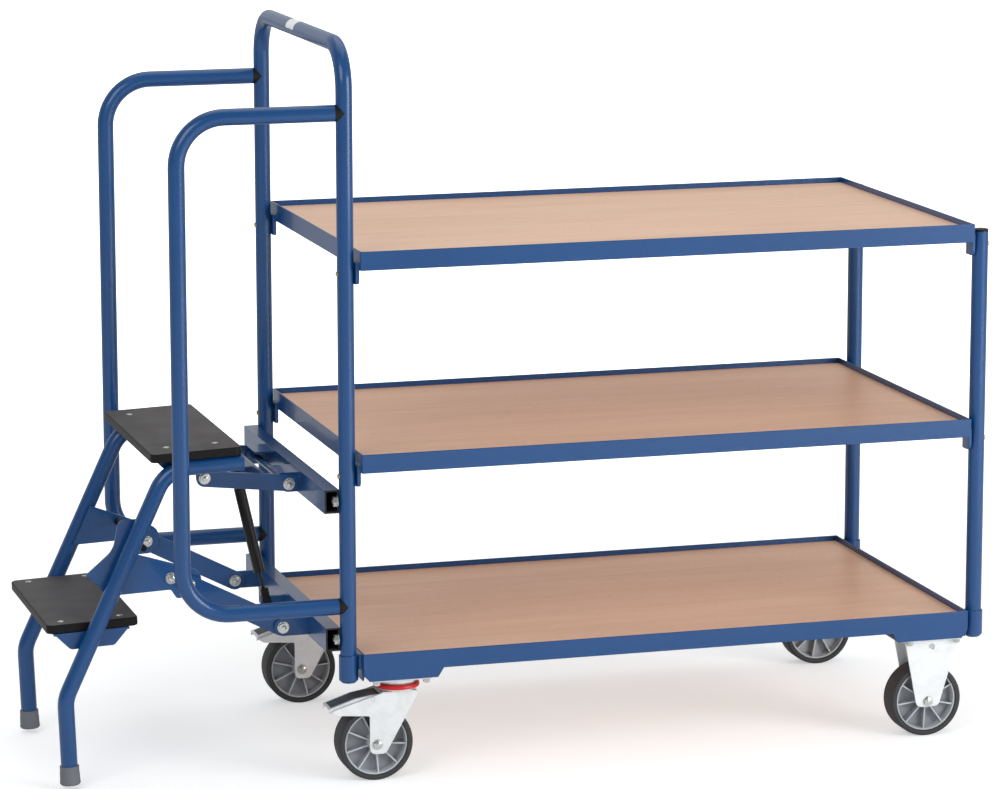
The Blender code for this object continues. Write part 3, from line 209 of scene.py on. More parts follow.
class Graph:
    """The node tree of a material or of the world."""

    def __init__(self, tree: bpy.types.NodeTree) -> None:
        """Takes over a node tree, and its Principled shader if it has one."""
        self.tree = tree
        self.shader = tree.nodes.get("Principled BSDF")

    def node(
        self,
        kind: str,
        settings: dict[str, Any] | None = None,
        inputs: dict[str | int, Any] | None = None,
        output: str | int = 0,
    ) -> Wire:
        """Adds one node.

        Args:
            kind: The node's type.
            settings: Its properties, which are set first.
            inputs: A value or a wire for each named or numbered input.
            output: The output to hand back.

        Returns:
            That output as a wire.
        """
        made = self.tree.nodes.new(kind)
        for name, value in (settings or {}).items():
            setattr(made, name, value)
        for name, value in (inputs or {}).items():
            self.feed(made.inputs[name], value)
        return Wire(self, made.outputs[output])

    def feed(self, socket: bpy.types.NodeSocket, value: Any) -> None:
        """Links a wire to a socket, or sets the socket to a plain value.

        Args:
            socket: The input socket.
            value: The wire, number, colour or vector that it takes.
        """
        if isinstance(value, Wire):
            self.tree.links.new(value.socket, socket)
        else:
            socket.default_value = value

    def mix(self, share: Wire | float, first: Any, second: Any) -> Wire:
        """Mixes two colours.

        Args:
            share: How much of the second colour shows.
            first: The colour at 0.
            second: The colour at 1.

        Returns:
            The mixed colour.
        """
        inputs = {0: share, 6: first, 7: second}
        return self.node("ShaderNodeMix", {"data_type": "RGBA"}, inputs, output=2)

    def place(self, stretch: Place = EVEN) -> Wire:
        """The place on the piece, in metres, stretched along its axes."""
        here = self.node("ShaderNodeTexCoord", output="Object")
        return self.node("ShaderNodeMapping", inputs={"Vector": here, "Scale": stretch})

    def noise(self, scale: float, detail: float, stretch: Place = EVEN, warp: float = 0.0) -> Wire:
        """A noise over the piece.

        Args:
            scale: Waves per metre.
            detail: Octaves.
            stretch: Factors along the axes.
            warp: Distortion.

        Returns:
            The noise, whose values lie round NOISE_MIDDLE.
        """
        inputs = {"Vector": self.place(stretch), "Scale": scale, "Detail": detail, "Distortion": warp}
        return self.node("ShaderNodeTexNoise", inputs=inputs)

    def bump(self, height: Wire, strength: float, distance: float) -> None:
        """Raises the shader's surface by a height."""
        inputs = {"Height": height, "Strength": strength, "Distance": distance}
        self.feed(self.shader.inputs["Normal"], self.node("ShaderNodeBump", inputs=inputs))

    def surface(self, **values: Any) -> None:
        """Feeds the shader's inputs, named with _ for each space."""
        for name, value in values.items():
            self.feed(self.shader.inputs[name.replace("_", " ")], value)


def new_material(name: str) -> tuple[bpy.types.Material, Graph]:
    """Adds a material that starts as a plain Principled shader.

    Args:
        name: The material's name.

    Returns:
        The material and its graph.
    """
    made = bpy.data.materials.new(name)
    made.use_nodes = True
    return made, Graph(made.node_tree)


def linear(colour: Place) -> Rgba:
    """Turns a colour on screen into the linear values that a shader takes.

    Args:
        colour: Red, green and blue, from 0 to 255.

    Returns:
        Linear red, green and blue from 0 to 1, and full opacity.
    """

    def curve(share: float) -> float:
        """Undoes the screen's own curve, which is a short straight foot and then a power.

        Args:
            share: One part of the colour on screen, from 0 to 1.

        Returns:
            Its linear value.
        """
        if share <= SRGB_FOOT:
            return share / SRGB_SLOPE
        return ((share + SRGB_OFFSET) / (1 + SRGB_OFFSET)) ** SRGB_POWER

    red, green, blue = (curve(part / SCREEN_MAX) for part in colour)
    return red, green, blue, 1.0


@dataclass(frozen=True)
class Finish:
    """A plain moulded, lacquered or rubber surface, and what all finishes share.

    The slot is the record's, the colour is as on screen, mottle and unevenness are how far colour and
    roughness stray, cloud and grain are waves per metre, and relief and depth are the bump's.
    """

    name: str
    slot: str
    colour: Colour
    roughness: float
    metallic: float = 0.0
    coat: float = 0.0
    coat_roughness: float = 0.09
    specular: float = 0.5
    mottle: float = 0.06
    unevenness: float = 0.12
    cloud: float = 9.0
    grain: float = 700.0
    relief: float = 0.35
    depth: float = 0.00003

    def material(self) -> bpy.types.Material:
        """Makes the finish's material the first time that it is asked for.

        Returns:
            The material.
        """
        made = bpy.data.materials.get(self.name)
        if made is None:
            made, graph = new_material(self.name)
            graph.surface(Metallic=self.metallic, Specular_IOR_Level=self.specular)
            graph.surface(Coat_Weight=self.coat, Coat_Roughness=self.coat_roughness)
            self.paint(graph)
        return made

    def tone(self, change: float = 0.0) -> Rgba:
        """The finish's colour for a shader, lighter or darker by a share."""
        return linear([part * (1 + change) for part in self.colour])

    def paint(self, graph: Graph) -> None:
        """Lays a clouded colour, with one fine grain in gloss and relief.

        Args:
            graph: The material's graph.
        """
        cloud = graph.noise(self.cloud, detail=3.0)
        shade = cloud.above(NOISE_MIDDLE, softness=0.25)
        graph.surface(Base_Color=graph.mix(shade, self.tone(-self.mottle), self.tone(self.mottle)))
        grain = graph.noise(self.grain, detail=2.0)
        graph.surface(Roughness=(grain - NOISE_MIDDLE) * self.unevenness + self.roughness)
        graph.bump(grain, self.relief, self.depth)


@dataclass(frozen=True)
class PaintFinish(Finish):
    """Glossy powder paint: soft orange peel with fine specks, and dust that dulls it in clouds."""

    unevenness: float = 0.14
    cloud: float = 4.0
    relief: float = 0.30
    peel: float = 260.0
    speck_unevenness: float = 0.05
    speck_share: float = 0.2

    def paint(self, graph: Graph) -> None:
        """Lays the paint's colour, its peel and its dulled clouds.

        Args:
            graph: The material's graph.
        """
        cloud = graph.noise(self.cloud, detail=4.0)
        shade = cloud.above(NOISE_MIDDLE, softness=0.3)
        graph.surface(Base_Color=graph.mix(shade, self.tone(-self.mottle), self.tone(self.mottle)))
        peel = graph.noise(self.peel, detail=1.0)
        specks = graph.noise(self.grain, detail=2.0)
        dusty = self.roughness + (cloud - NOISE_MIDDLE) * self.unevenness
        graph.surface(Roughness=dusty + (specks - NOISE_MIDDLE) * self.speck_unevenness)
        graph.bump(peel + specks * self.speck_share, self.relief, self.depth)


@dataclass(frozen=True)
class BeechFinish(Finish):
    """Lacquered beech board: long figure, fine grain lines and the short dark flecks of beech."""

    dark: Colour = (205.0, 160.0, 126.0)
    fleck: Colour = (176.0, 126.0, 92.0)
    unevenness: float = 0.10
    relief: float = 0.25
    figure: float = 5.0
    lines: float = 90.0
    pores: float = 620.0
    figure_share: float = 0.45
    line_share: float = 0.22
    fleck_share: float = 0.45
    fleck_dulling: float = 0.15
    line_relief_share: float = 0.5

    def paint(self, graph: Graph) -> None:
        """Lays the figure, lines and flecks along X.

        Args:
            graph: The material's graph.
        """
        figure = graph.noise(self.figure, detail=4.0, stretch=(0.35, 3.0, 3.0), warp=1.2)
        lines = graph.noise(self.lines, detail=3.0, stretch=(0.03, 1.0, 1.0), warp=0.4)
        pores = graph.noise(self.pores, detail=1.0, stretch=(0.10, 1.0, 1.0))
        flecks = pores.above(0.70, softness=0.05)
        figured = figure.above(0.52, softness=0.30) * self.figure_share
        lined = lines.above(0.55, softness=0.30) * self.line_share
        wood = graph.mix(figured + lined, self.tone(), linear(self.dark))
        graph.surface(Base_Color=graph.mix(flecks * self.fleck_share, wood, linear(self.fleck)))
        dulled = self.roughness + (lines - NOISE_MIDDLE) * self.unevenness
        graph.surface(Roughness=dulled + flecks * self.fleck_dulling)
        graph.bump(lines * self.line_relief_share - flecks, self.relief, self.depth)


@dataclass(frozen=True)
class FilmFinish(Finish):
    """A pressed pattern of small pits over a faint mottle, as on anti-slip film and a pedal pad."""

    cloud: float = 22.0
    pitch: float = 0.0028
    disorder: float = 0.25
    pit_edge: float = 0.42
    pit_share: float = 0.2
    pit_dulling: float = 0.08

    def paint(self, graph: Graph) -> None:
        """Lays the film's colour and its pressed pits.

        Args:
            graph: The material's graph.
        """
        cloud = graph.noise(self.cloud, detail=4.0)
        inputs = {"Vector": graph.place(), "Scale": 1 / self.pitch, "Randomness": self.disorder}
        dimples = graph.node("ShaderNodeTexVoronoi", inputs=inputs)
        pits = dimples.above(self.pit_edge, softness=0.2)
        clouded = cloud.above(NOISE_MIDDLE, softness=0.3) * (1 - self.pit_share)
        shade = clouded + pits * self.pit_share
        graph.surface(Base_Color=graph.mix(shade, self.tone(self.mottle), self.tone(-self.mottle)))
        dulled = self.roughness + (cloud - NOISE_MIDDLE) * self.unevenness
        graph.surface(Roughness=dulled + pits * self.pit_dulling)
        graph.bump(dimples, self.relief, self.depth)


@dataclass(frozen=True)
class ZincFinish(Finish):
    """Bright zinc plate: pale, with faint rolling lines and cloudy spangle."""

    unevenness: float = 0.18
    cloud: float = 45.0
    relief: float = 0.15
    lines: float = 500.0
    line_unevenness: float = 0.08

    def paint(self, graph: Graph) -> None:
        """Lays the plate's tone and its cloudy gloss.

        Args:
            graph: The material's graph.
        """
        cloud = graph.noise(self.cloud, detail=3.0, warp=0.6)
        lines = graph.noise(self.lines, detail=2.0, stretch=(1.0, 1.0, 0.06))
        shade = cloud.above(0.55, softness=0.2)
        graph.surface(Base_Color=graph.mix(shade, self.tone(), self.tone(-self.mottle)))
        clouded = self.roughness + (cloud - NOISE_MIDDLE) * self.unevenness
        graph.surface(Roughness=clouded + (lines - NOISE_MIDDLE) * self.line_unevenness)
        graph.bump(lines, self.relief, self.depth)


PAINT = PaintFinish(
    "blue_powder_paint", "blue_paint", (8, 65, 118), 0.36, coat=0.35, specular=0.35, mottle=0.03, grain=1400
)
BEECH = BeechFinish("lacquered_beech", "beech_board", (228, 188, 158), 0.40, depth=0.00002)
FILM = FilmFinish("anti_slip_film", "step_covering", (68, 66, 67), 0.58, mottle=0.08, depth=0.00012)
STEP_EDGE = Finish("sealed_ply_edge", "step_covering", (15, 14, 15), 0.5, specular=0.2, grain=400)
# Painted shade: a near-black colour for the unlit inside of the cross tubes.
BORE_SHADE = Finish("bare_tube_bore", "blue_paint", (12, 13, 16), 0.75, grain=300)
BLACK = Finish("black_moulding", "black_plastic", (16, 16, 17), 0.42, specular=0.25)
PAD = FilmFinish(
    "pedal_pad_plastic", "black_plastic", (64, 72, 77), 0.5, mottle=0.1, depth=0.0002, pitch=0.005
)
STOP = Finish("black_stop_sleeve", "blue_paint", (14, 14, 15), 0.55, specular=0.25)
SPRING = Finish("black_spring_lacquer", "black_steel", (14, 13, 15), 0.36, coat=0.15, specular=0.2)
ZINC = ZincFinish("bright_zinc", "zinc_plate", (228, 232, 234), 0.40, metallic=0.45, mottle=0.04)
BOLT = ZincFinish("fastener_zinc", "zinc_plate", (205, 208, 206), 0.27, metallic=0.9, mottle=0.10)
YELLOW_ZINC = ZincFinish("yellow_zinc", "zinc_plate", (206, 186, 118), 0.30, metallic=0.8, mottle=0.10)
TYRE = Finish(
    "grey_tyre_rubber", "grey_tyre", (54, 55, 57), 0.62, specular=0.35, grain=900, depth=0.00008
)
RIM = Finish("rim_rib_plastic", "grey_rim", (178, 182, 186), 0.42)
# Painted shade: the rim's recessed web gets a darker grey than its ribs for the shade in the recess.
RIM_WEB_SHADE = Finish("rim_panel_plastic", "grey_rim", (146, 150, 156), 0.50)
FOOT = Finish("grey_foot_rubber", "grey_foot", (98, 102, 108), 0.66, grain=500, depth=0.00006)
SEAL = Finish("red_seal", "black_plastic", (196, 22, 24), 0.38)
LABEL = Finish("white_label", "black_plastic", (236, 238, 240), 0.35, mottle=0.01)


def only(piece: Piece) -> None:
    """Makes a piece the one that is selected and active.

    Args:
        piece: The piece.
    """
    bpy.ops.object.select_all(action="DESELECT")
    piece.select_set(True)
    bpy.context.view_layer.objects.active = piece


@contextmanager
def editing(piece: Piece, pick: Pick = Pick.FACES) -> Iterator[None]:
    """Edits one piece, and leaves edit mode after.

    Args:
        piece: The piece.
        pick: What edit mode selects.

    Yields:
        Nothing, once the piece is in edit mode.
    """
    only(piece)
    bpy.context.tool_settings.mesh_select_mode = pick.value
    bpy.ops.object.mode_set(mode="EDIT")
    yield
    bpy.ops.object.mode_set(mode="OBJECT")


def settle(piece: Piece) -> Piece:
    """Applies a piece's place, turn and size to its mesh.

    Args:
        piece: The piece.

    Returns:
        The piece, at the origin, unturned and unscaled.
    """
    only(piece)
    bpy.ops.object.transform_apply(location=True, rotation=True, scale=True)
    return piece


def linked(made: Piece) -> Piece:
    """Puts a new object into the scene."""
    bpy.context.scene.collection.objects.link(made)
    return made


def named(name: str) -> Piece:
    """Names and settles the primitive that was just added.

    Args:
        name: The name of the piece and its mesh.

    Returns:
        The piece.
    """
    made = bpy.context.active_object
    made.name = name
    made.data.name = name
    return settle(made)


def ring(name: str, sides: int, radius: float, place: Place, turn: Place, fill: str = "NOTHING") -> Piece:
    """Adds a circle for a tube or a turned piece to grow from.

    Args:
        name: The piece's name.
        sides: Its facets.
        radius: Its radius.
        place: Its middle.
        turn: Its rotation.
        fill: NOTHING for an open circle, and NGON for a disc.

    Returns:
        The circle, settled.
    """
    bpy.ops.mesh.primitive_circle_add(
        vertices=sides, radius=radius, fill_type=fill, location=place, rotation=turn
    )
    return named(name)


def slab(name: str, middle: Place, size: Place, lean: float = 0.0) -> Piece:
    """Adds a box for a board, plate or rib to be cut from.

    Args:
        name: The piece's name.
        middle: Its middle.
        size: Its sizes along its own X, Y and Z.
        lean: Its turn about the Y axis.

    Returns:
        The box, settled.
    """
    bpy.ops.mesh.primitive_cube_add(size=1, location=middle, rotation=(0, lean, 0), scale=size)
    return named(name)


def extrude(step: Place) -> None:
    """Extrudes what is selected in edit mode by a step."""
    bpy.ops.mesh.extrude_region_move(TRANSFORM_OT_translate={"value": step})


def outward(piece: Piece) -> None:
    """Merges doubles and points every face outwards.

    Args:
        piece: The piece.
    """
    with editing(piece):
        bpy.ops.mesh.select_all(action="SELECT")
        bpy.ops.mesh.remove_doubles(threshold=MERGE_DISTANCE)
        bpy.ops.mesh.normals_make_consistent(inside=False)


def smooth(piece: Piece, angle: float = SMOOTH_ANGLE) -> Piece:
    """Shades a piece smooth apart from its sharp edges.

    Args:
        piece: The piece.
        angle: The angle between faces from which an edge is sharp.

    Returns:
        The piece.
    """
    only(piece)
    bpy.ops.object.shade_smooth_by_angle(angle=angle)
    return piece


def apply_modifier(piece: Piece, kind: str, **settings: Any) -> None:
    """Adds one modifier and applies it.

    Args:
        piece: The piece.
        kind: The modifier's type.
        settings: The modifier's properties.
    """
    made = piece.modifiers.new(kind.lower(), kind)
    for name, value in settings.items():
        setattr(made, name, value)
    only(piece)
    bpy.ops.object.modifier_apply(modifier=made.name)


def flattened(piece: Piece) -> Piece:
    """Lets a piece's large faces hold their own direction, so that only its edges shade round."""
    apply_modifier(piece, "WEIGHTED_NORMAL", mode="FACE_AREA", weight=100, keep_sharp=True)
    return piece


def soften(piece: Piece, width: float, segments: int = 2) -> Piece:
    """Rounds every sharp edge of a piece and shades it.

    Args:
        piece: The piece.
        width: The rounding.
        segments: Its facets.

    Returns:
        The piece.
    """
    apply_modifier(
        piece,
        "BEVEL",
        width=width,
        segments=segments,
        limit_method="ANGLE",
        angle_limit=SMOOTH_ANGLE,
        use_clamp_overlap=False,
    )
    return flattened(smooth(piece))


def joined(pieces: Sequence[Piece]) -> Piece:
    """Joins pieces into the first of them.

    Args:
        pieces: Two pieces or more.

    Returns:
        The one piece.
    """
    bpy.ops.object.select_all(action="DESELECT")
    for piece in pieces:
        piece.select_set(True)
    bpy.context.view_layer.objects.active = pieces[0]
    bpy.ops.object.join()
    return pieces[0]


def copied(piece: Piece, name: str, shift: Vector) -> Piece:
    """Copies a settled piece with its own mesh.

    Args:
        piece: The piece.
        name: The copy's name.
        shift: How far the copy lies from the piece.

    Returns:
        The copy, settled.
    """
    made = piece.copy()
    made.data = piece.data.copy()
    made.name = name
    linked(made).location = shift
    return settle(made)


def mirrored(side: Profile) -> Profile:
    """A profile above zero height, run on through its mirror image below."""
    return [*side, *((radius, -height) for radius, height in reversed(side))]


def turned(
    name: str, profile: Profile, centre: Place, axis: Axis, sides: int, closed: bool = False
) -> Piece:
    """Builds a round piece ring by ring, as a lathe would cut it.

    Args:
        name: The piece's name.
        profile: (radius, height) of each ring in order, radius above zero.
        centre: The point where height is zero.
        axis: The direction of height.
        sides: Facets round the piece.
        closed: True for a hollow ring whose profile returns to its start, and False for a capped solid.

    Returns:
        The piece, settled and shaded.
    """
    radius, height = profile[0]
    fill = "NOTHING" if closed else "NGON"
    piece = ring(name, sides, radius, (0, 0, height), Axis.Z.value, fill)
    route = [*profile[1:], profile[0]] if closed else profile[1:]
    with editing(piece, Pick.VERTICES):
        bpy.ops.mesh.select_all(action="SELECT")
        for next_radius, next_height in route:
            extrude((0, 0, next_height - height))
            share = next_radius / radius
            bpy.ops.transform.resize(value=(share, share, 1), center_override=(0, 0, next_height))
            radius, height = next_radius, next_height
    outward(piece)
    piece.rotation_euler = axis.value
    piece.location = centre
    return smooth(settle(piece), LATHE_ANGLE)


def unselected(piece: Piece) -> bpy.types.Mesh:
    """Deselects all parts of a piece's mesh.

    Args:
        piece: The piece.

    Returns:
        Its mesh.
    """
    mesh = piece.data
    for parts in (mesh.vertices, mesh.edges, mesh.polygons):
        parts.foreach_set("select", [False] * len(parts))
    return mesh


def select_faces(piece: Piece, test: Test) -> None:
    """Selects some faces of a piece, and nothing else of it.

    Args:
        piece: The piece.
        test: Picks faces by middle and normal.
    """
    for face in unselected(piece).polygons:
        face.select = test(face.center, face.normal)


def paint_faces(piece: Piece, finish: Finish, test: Test) -> None:
    """Gives a second finish to some faces of a piece.

    Args:
        piece: The piece.
        finish: The second finish.
        test: Picks faces by middle and normal.
    """
    piece.data.materials.append(finish.material())
    slot = len(piece.data.materials) - 1
    for face in piece.data.polygons:
        if test(face.center, face.normal):
            face.material_index = slot


def round_edges(piece: Piece, test: Test, radius: float, segments: int) -> None:
    """Rounds some edges of a piece.

    Args:
        piece: The piece.
        test: Picks edges by middle and direction.
        radius: The round.
        segments: The round's facets.
    """
    mesh = unselected(piece)
    for edge in mesh.edges:
        first, second = (mesh.vertices[index].co for index in edge.vertices)
        edge.select = test((first + second) / 2, (second - first).normalized())
    with editing(piece, Pick.EDGES):
        bpy.ops.mesh.bevel(offset=radius, segments=segments, affect="EDGES")


def refined(name: str, node: str, width: float) -> Piece:
    """Copies a node, merges its triangles into faces and rounds its edges.

    Args:
        name: The new piece's name.
        node: The node to copy.
        width: The rounding of every sharp edge, or zero to leave the edges alone.

    Returns:
        The piece, not yet dressed.
    """
    piece = linked(bpy.data.objects.new(name, frame["nodes"][node].data.copy()))
    piece.data.name = name
    piece.data.materials.clear()
    with editing(piece):
        bpy.ops.mesh.select_all(action="SELECT")
        bpy.ops.mesh.remove_doubles(threshold=MERGE_DISTANCE)
        bpy.ops.mesh.dissolve_limited(angle_limit=FLAT_ANGLE)
        bpy.ops.mesh.normals_make_consistent(inside=False)
    return soften(piece, width) if width else flattened(smooth(piece))


def tipped(piece: Piece, pivot: Vector, angle: float) -> Piece:
    """Tips a piece about the Y axis through a pivot.

    Args:
        piece: The piece.
        pivot: A point on the axis.
        angle: How far it tips.

    Returns:
        The piece, settled.
    """
    turn = Matrix.Rotation(angle, 4, "Y")
    piece.matrix_world = Matrix.Translation(pivot) @ turn @ Matrix.Translation(-pivot)
    return settle(piece)


def dress(piece: Piece, finish: Finish, *nodes: str, body: str = "") -> Piece:
    """Finishes a piece, seats it on its body and lets it stand for its nodes.

    Args:
        piece: The piece.
        finish: Its first finish.
        nodes: The nodes that it replaces.
        body: The body that it rides on, where it replaces none.

    Returns:
        The piece.
    """
    piece.data.materials.append(finish.material())
    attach(piece, body or PLACES.body_of[nodes[0]])
    if nodes:
        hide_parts(*nodes)
    log.info("%s: %d faces, %s", piece.name, len(piece.data.polygons), finish.name)
    return piece


def recut(node: str, part: str, width: float, finish: Finish) -> Piece:
    """Refines and dresses a node's copy, which is named after the node and a part."""
    return dress(refined(f"{node}_{part}", node, width), finish, node)


@dataclass(frozen=True)
class Tube:
    """Round steel tube, bent at the corners of its route."""

    bend: float
    radius: float = 0.014
    wall: float = 0.002
    sides: int = 40
    least_steps: int = 4
    steps_per_radian: int = 9

    def along(self, name: str, corners: Sequence[Place]) -> Piece:
        """Pushes a ring along a route with an arc at each corner, and gives it a wall.

        Args:
            name: The piece's name.
            corners: The route's points, with the bends' corners between its ends.

        Returns:
            The open-ended tube, not yet dressed.
        """
        points = [Vector(corner) for corner in corners]
        here = points[0]
        turn = (points[1] - here).to_track_quat("Z", "X").to_euler()
        piece = ring(name, self.sides, self.radius, here, turn)
        with editing(piece, Pick.VERTICES):
            bpy.ops.mesh.select_all(action="SELECT")
            for before, corner, after in zip(points, points[1:], points[2:]):
                back = (before - corner).normalized()
                ahead = (after - corner).normalized()
                half = back.angle(ahead) / 2
                reach = self.bend / math.tan(half)
                start = corner + back * reach
                extrude(start - here)
                middle = corner + (back + ahead).normalized() * (self.bend / math.sin(half))
                sweep = math.pi - 2 * half
                bpy.ops.mesh.spin(
                    steps=max(self.least_steps, round(sweep * self.steps_per_radian)),
                    angle=-sweep,
                    center=middle,
                    axis=back.cross(start - middle).normalized(),
                )
                here = corner + ahead * reach
            extrude(points[-1] - here)
        outward(piece)
        apply_modifier(piece, "SOLIDIFY", thickness=self.wall, offset=-1.0)
        return smooth(piece)


@dataclass(frozen=True)
class Fastener:
    """A bolt or axle through plates, with a washer and a hexagon nut at each end."""

    shank: float = 0.0058
    washer: float = 0.0104
    washer_height: float = 0.0012
    hexagon: float = 0.0090
    tip: float = 0.0046
    tip_height: float = 0.0012
    head: float = 0.006
    chamfer_share: float = 0.92
    point_share: float = 0.8
    washer_sides: int = 32
    thread_sides: int = 20

    def end(self, name: str, centre: Vector, axis: Axis, start: float, reach: float) -> list[Piece]:
        """Makes a washer, nut and thread tip from a seat outwards.

        Args:
            name: The pieces' name.
            centre: A point on the bolt's axis.
            axis: The bolt's axis.
            start: Where the washer lies, along the axis from the centre.
            reach: How far the tip stands out of the seat, negative the other way.

        Returns:
            The pieces.
        """
        way = math.copysign(1.0, reach)
        edge = self.washer_height / 3
        stop = start + reach
        washer_top = start + way * self.washer_height
        nut_top = stop - way * self.tip_height
        washer = [
            (self.washer, start),
            (self.washer, washer_top - way * edge),
            (self.washer - edge, washer_top),
        ]
        nut = [
            (self.hexagon, washer_top),
            (self.hexagon, nut_top - way * edge),
            (self.hexagon * self.chamfer_share, nut_top),
        ]
        thread = [(self.tip, nut_top), (self.tip, stop - way * edge), (self.tip * self.point_share, stop)]
        parts = ((washer, self.washer_sides), (nut, HEXAGON_SIDES), (thread, self.thread_sides))
        return [turned(name, profile, centre, axis, sides) for profile, sides in parts]

    def fitted(self, node: str, part: str) -> Piece:
        """Makes and dresses a whole bolt in the place of a node whose axis runs along Y.

        Args:
            node: The node.
            part: What the piece's name adds to the node's.

        Returns:
            The piece.
        """
        name = f"{node}_{part}"
        centre = PLACES.centre(node)
        seat = PLACES.half_width(node) - self.head
        bolt = joined([
            turned(name, [(self.shank, -seat), (self.shank, seat)], centre, Axis.Y, self.thread_sides),
            *self.end(name, centre, Axis.Y, seat, self.head),
            *self.end(name, centre, Axis.Y, -seat, -self.head),
        ])
        return dress(bolt, BOLT, node)


@dataclass(frozen=True)
class Screw:
    """A screw with a round head and a socket in it.

    The head shares are (of the radius, of the height), from the head's side over its top into the socket.
    """

    radius: float
    height: float
    sink: float = 0.0012
    sides: int = 18
    head_shares: Profile = ((1.0, 0.45), (0.82, 0.9), (0.6, 1.0), (0.55, 1.0), (0.495, 0.3))

    def head(self, name: str, seat: Place, axis: Axis, way: int = 1) -> Piece:
        """Makes the part of the screw that shows.

        Args:
            name: The piece's name.
            seat: The middle of the head's underside.
            axis: The screw's axis.
            way: 1 for a head that looks along the axis, and -1 for one that looks against it.

        Returns:
            The piece, not yet dressed.
        """
        profile = [(self.radius, -way * self.sink)]
        for radius_share, height_share in self.head_shares:
            profile.append((self.radius * radius_share, way * self.height * height_share))
        return turned(name, profile, seat, axis, self.sides)


@dataclass
class PushFrame:
    """The bent tube of both left posts and the handle, and the two short right posts.

    The dome shares are (of the tube's radius, of the plug's height above it). The label covers the handle
    where its outward direction, times label_facing, comes to more than label_cover.
    """

    tube: Tube = Tube(bend=0.072)
    plug_skirt: float = 0.0004
    plug_taper_share: float = 0.9
    plug_sides: int = 40
    dome_shares: Profile = ((1.0, 0.6), (0.94, 0.9), (0.85, 1.0))
    label_near: float = -0.004
    label_far: float = 0.050
    label_sheet: float = 0.0001
    label_sides: int = 64
    label_facing: Place = (-0.62, 0.0, 0.78)
    label_cover: float = 0.62
    screw: Screw = Screw(radius=0.0042, height=0.0022)
    lug_drop: float = 0.0385

    def build(self) -> None:
        """Models and dresses the posts."""
        low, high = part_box("push_frame")
        x = (low.x + high.x) / 2
        near, far = low.y + self.tube.radius, high.y - self.tube.radius
        top = high.z - self.tube.radius
        arch = [(x, near, low.z), (x, near, top), (x, far, top), (x, far, low.z)]
        dress(self.tube.along("push_frame_tube", arch), PAINT, "push_frame")
        self.label(x, top)
        for side in Side:
            self.right_post(side)
        self.screws(x, near, far)

    def right_post(self, side: Side) -> None:
        """Builds one short post with its push-in plug.

        Args:
            side: The post's side of the trolley.
        """
        node, plug = f"right_post_{side.label}", f"post_plug_{side.label}"
        low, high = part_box(node)
        middle = PLACES.centre(node)
        ends = [(middle.x, middle.y, low.z), (middle.x, middle.y, high.z)]
        dress(self.tube.along(f"{node}_tube", ends), PAINT, node)
        plug_low, plug_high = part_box(plug)
        height = plug_high.z - high.z
        bore = self.tube.radius - self.tube.wall - self.plug_skirt
        profile = [
            (bore * self.plug_taper_share, plug_low.z),
            (bore, plug_low.z + height / 2),
            (bore, high.z),
            (self.tube.radius, high.z + self.plug_skirt),
        ]
        for radius_share, height_share in self.dome_shares:
            profile.append((self.tube.radius * radius_share, high.z + height * height_share))
        cap = turned(f"{plug}_cap", profile, (middle.x, middle.y, 0), Axis.Z, self.plug_sides)
        dress(cap, BLACK, plug)

    def label(self, x: float, z: float) -> None:
        """Builds the bare white label that is wrapped over the handle.

        Args:
            x: The place of the handle's middle line.
            z: Its height.
        """
        radius = self.tube.radius + self.label_sheet
        piece = ring("handle_label", self.label_sides, radius, (x, self.label_near, z), Axis.Y.value)
        with editing(piece, Pick.VERTICES):
            bpy.ops.mesh.select_all(action="SELECT")
            extrude((0, self.label_far - self.label_near, 0))
        facing = Vector(self.label_facing)

        def bare(at: Vector, _: Vector) -> bool:
            """True where the label leaves the tube bare."""
            return Vector((at.x - x, 0.0, at.z - z)).normalized().dot(facing) < self.label_cover

        select_faces(piece, bare)
        with editing(piece):
            bpy.ops.mesh.delete(type="FACE")
        outward(piece)
        apply_modifier(piece, "SOLIDIFY", thickness=self.label_sheet, offset=0.0)
        dress(smooth(piece), LABEL, body="trolley")

    def screws(self, x: float, near: float, far: float) -> None:
        """Builds the screws that hold each post to the lugs of the upper two trays.

        Args:
            x: The place of the left posts' middle line.
            near: The near posts' place along Y.
            far: The far posts' place along Y.
        """
        left_face = x - self.tube.radius
        right_face = PLACES.centre("right_post_near").x + self.tube.radius
        made = []
        for tray in ("tray_middle", "tray_top"):
            z = PLACES.high(tray).z - self.lug_drop
            for y in (near, far):
                for face, way in ((left_face, -1), (right_face, 1)):
                    made.append(self.screw.head("lug_screws", (face, y, z), Axis.X, way))
        dress(joined(made), YELLOW_ZINC, body="trolley")


@dataclass
class Trays:
    """Three pressed trays with a beech board in each."""

    edge: float = 0.0012
    board_edge: float = 0.0006

    def build(self) -> None:
        """Models and dresses the trays and boards."""
        for level in ("bottom", "middle", "top"):
            recut(f"tray_{level}", "rim", self.edge, PAINT)
            node = f"board_{level}"
            size = PLACES.high(node) - PLACES.low(node)
            board = slab(f"{node}_panel", PLACES.centre(node), size)
            dress(soften(board, self.board_edge), BEECH, node)


@dataclass
class Handrails:
    """Two C-shaped rails and the black saddles that hold them off the posts."""

    tube: Tube = Tube(bend=0.080)
    edge: float = 0.0005

    def build(self) -> None:
        """Models and dresses the rails and saddles."""
        radius = self.tube.radius
        for side in Side:
            node = f"handrail_{side.label}"
            low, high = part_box(node)
            y = PLACES.centre(node).y
            left, top, bottom = low.x + radius, high.z - radius, low.z + radius
            route = [(high.x, y, top), (left, y, top), (left, y, bottom), (high.x, y, bottom)]
            dress(self.tube.along(f"{node}_tube", route), PAINT, node)
            for level in ("top", "bottom"):
                recut(f"saddle_{level}_{side.label}", "block", self.edge, BLACK)


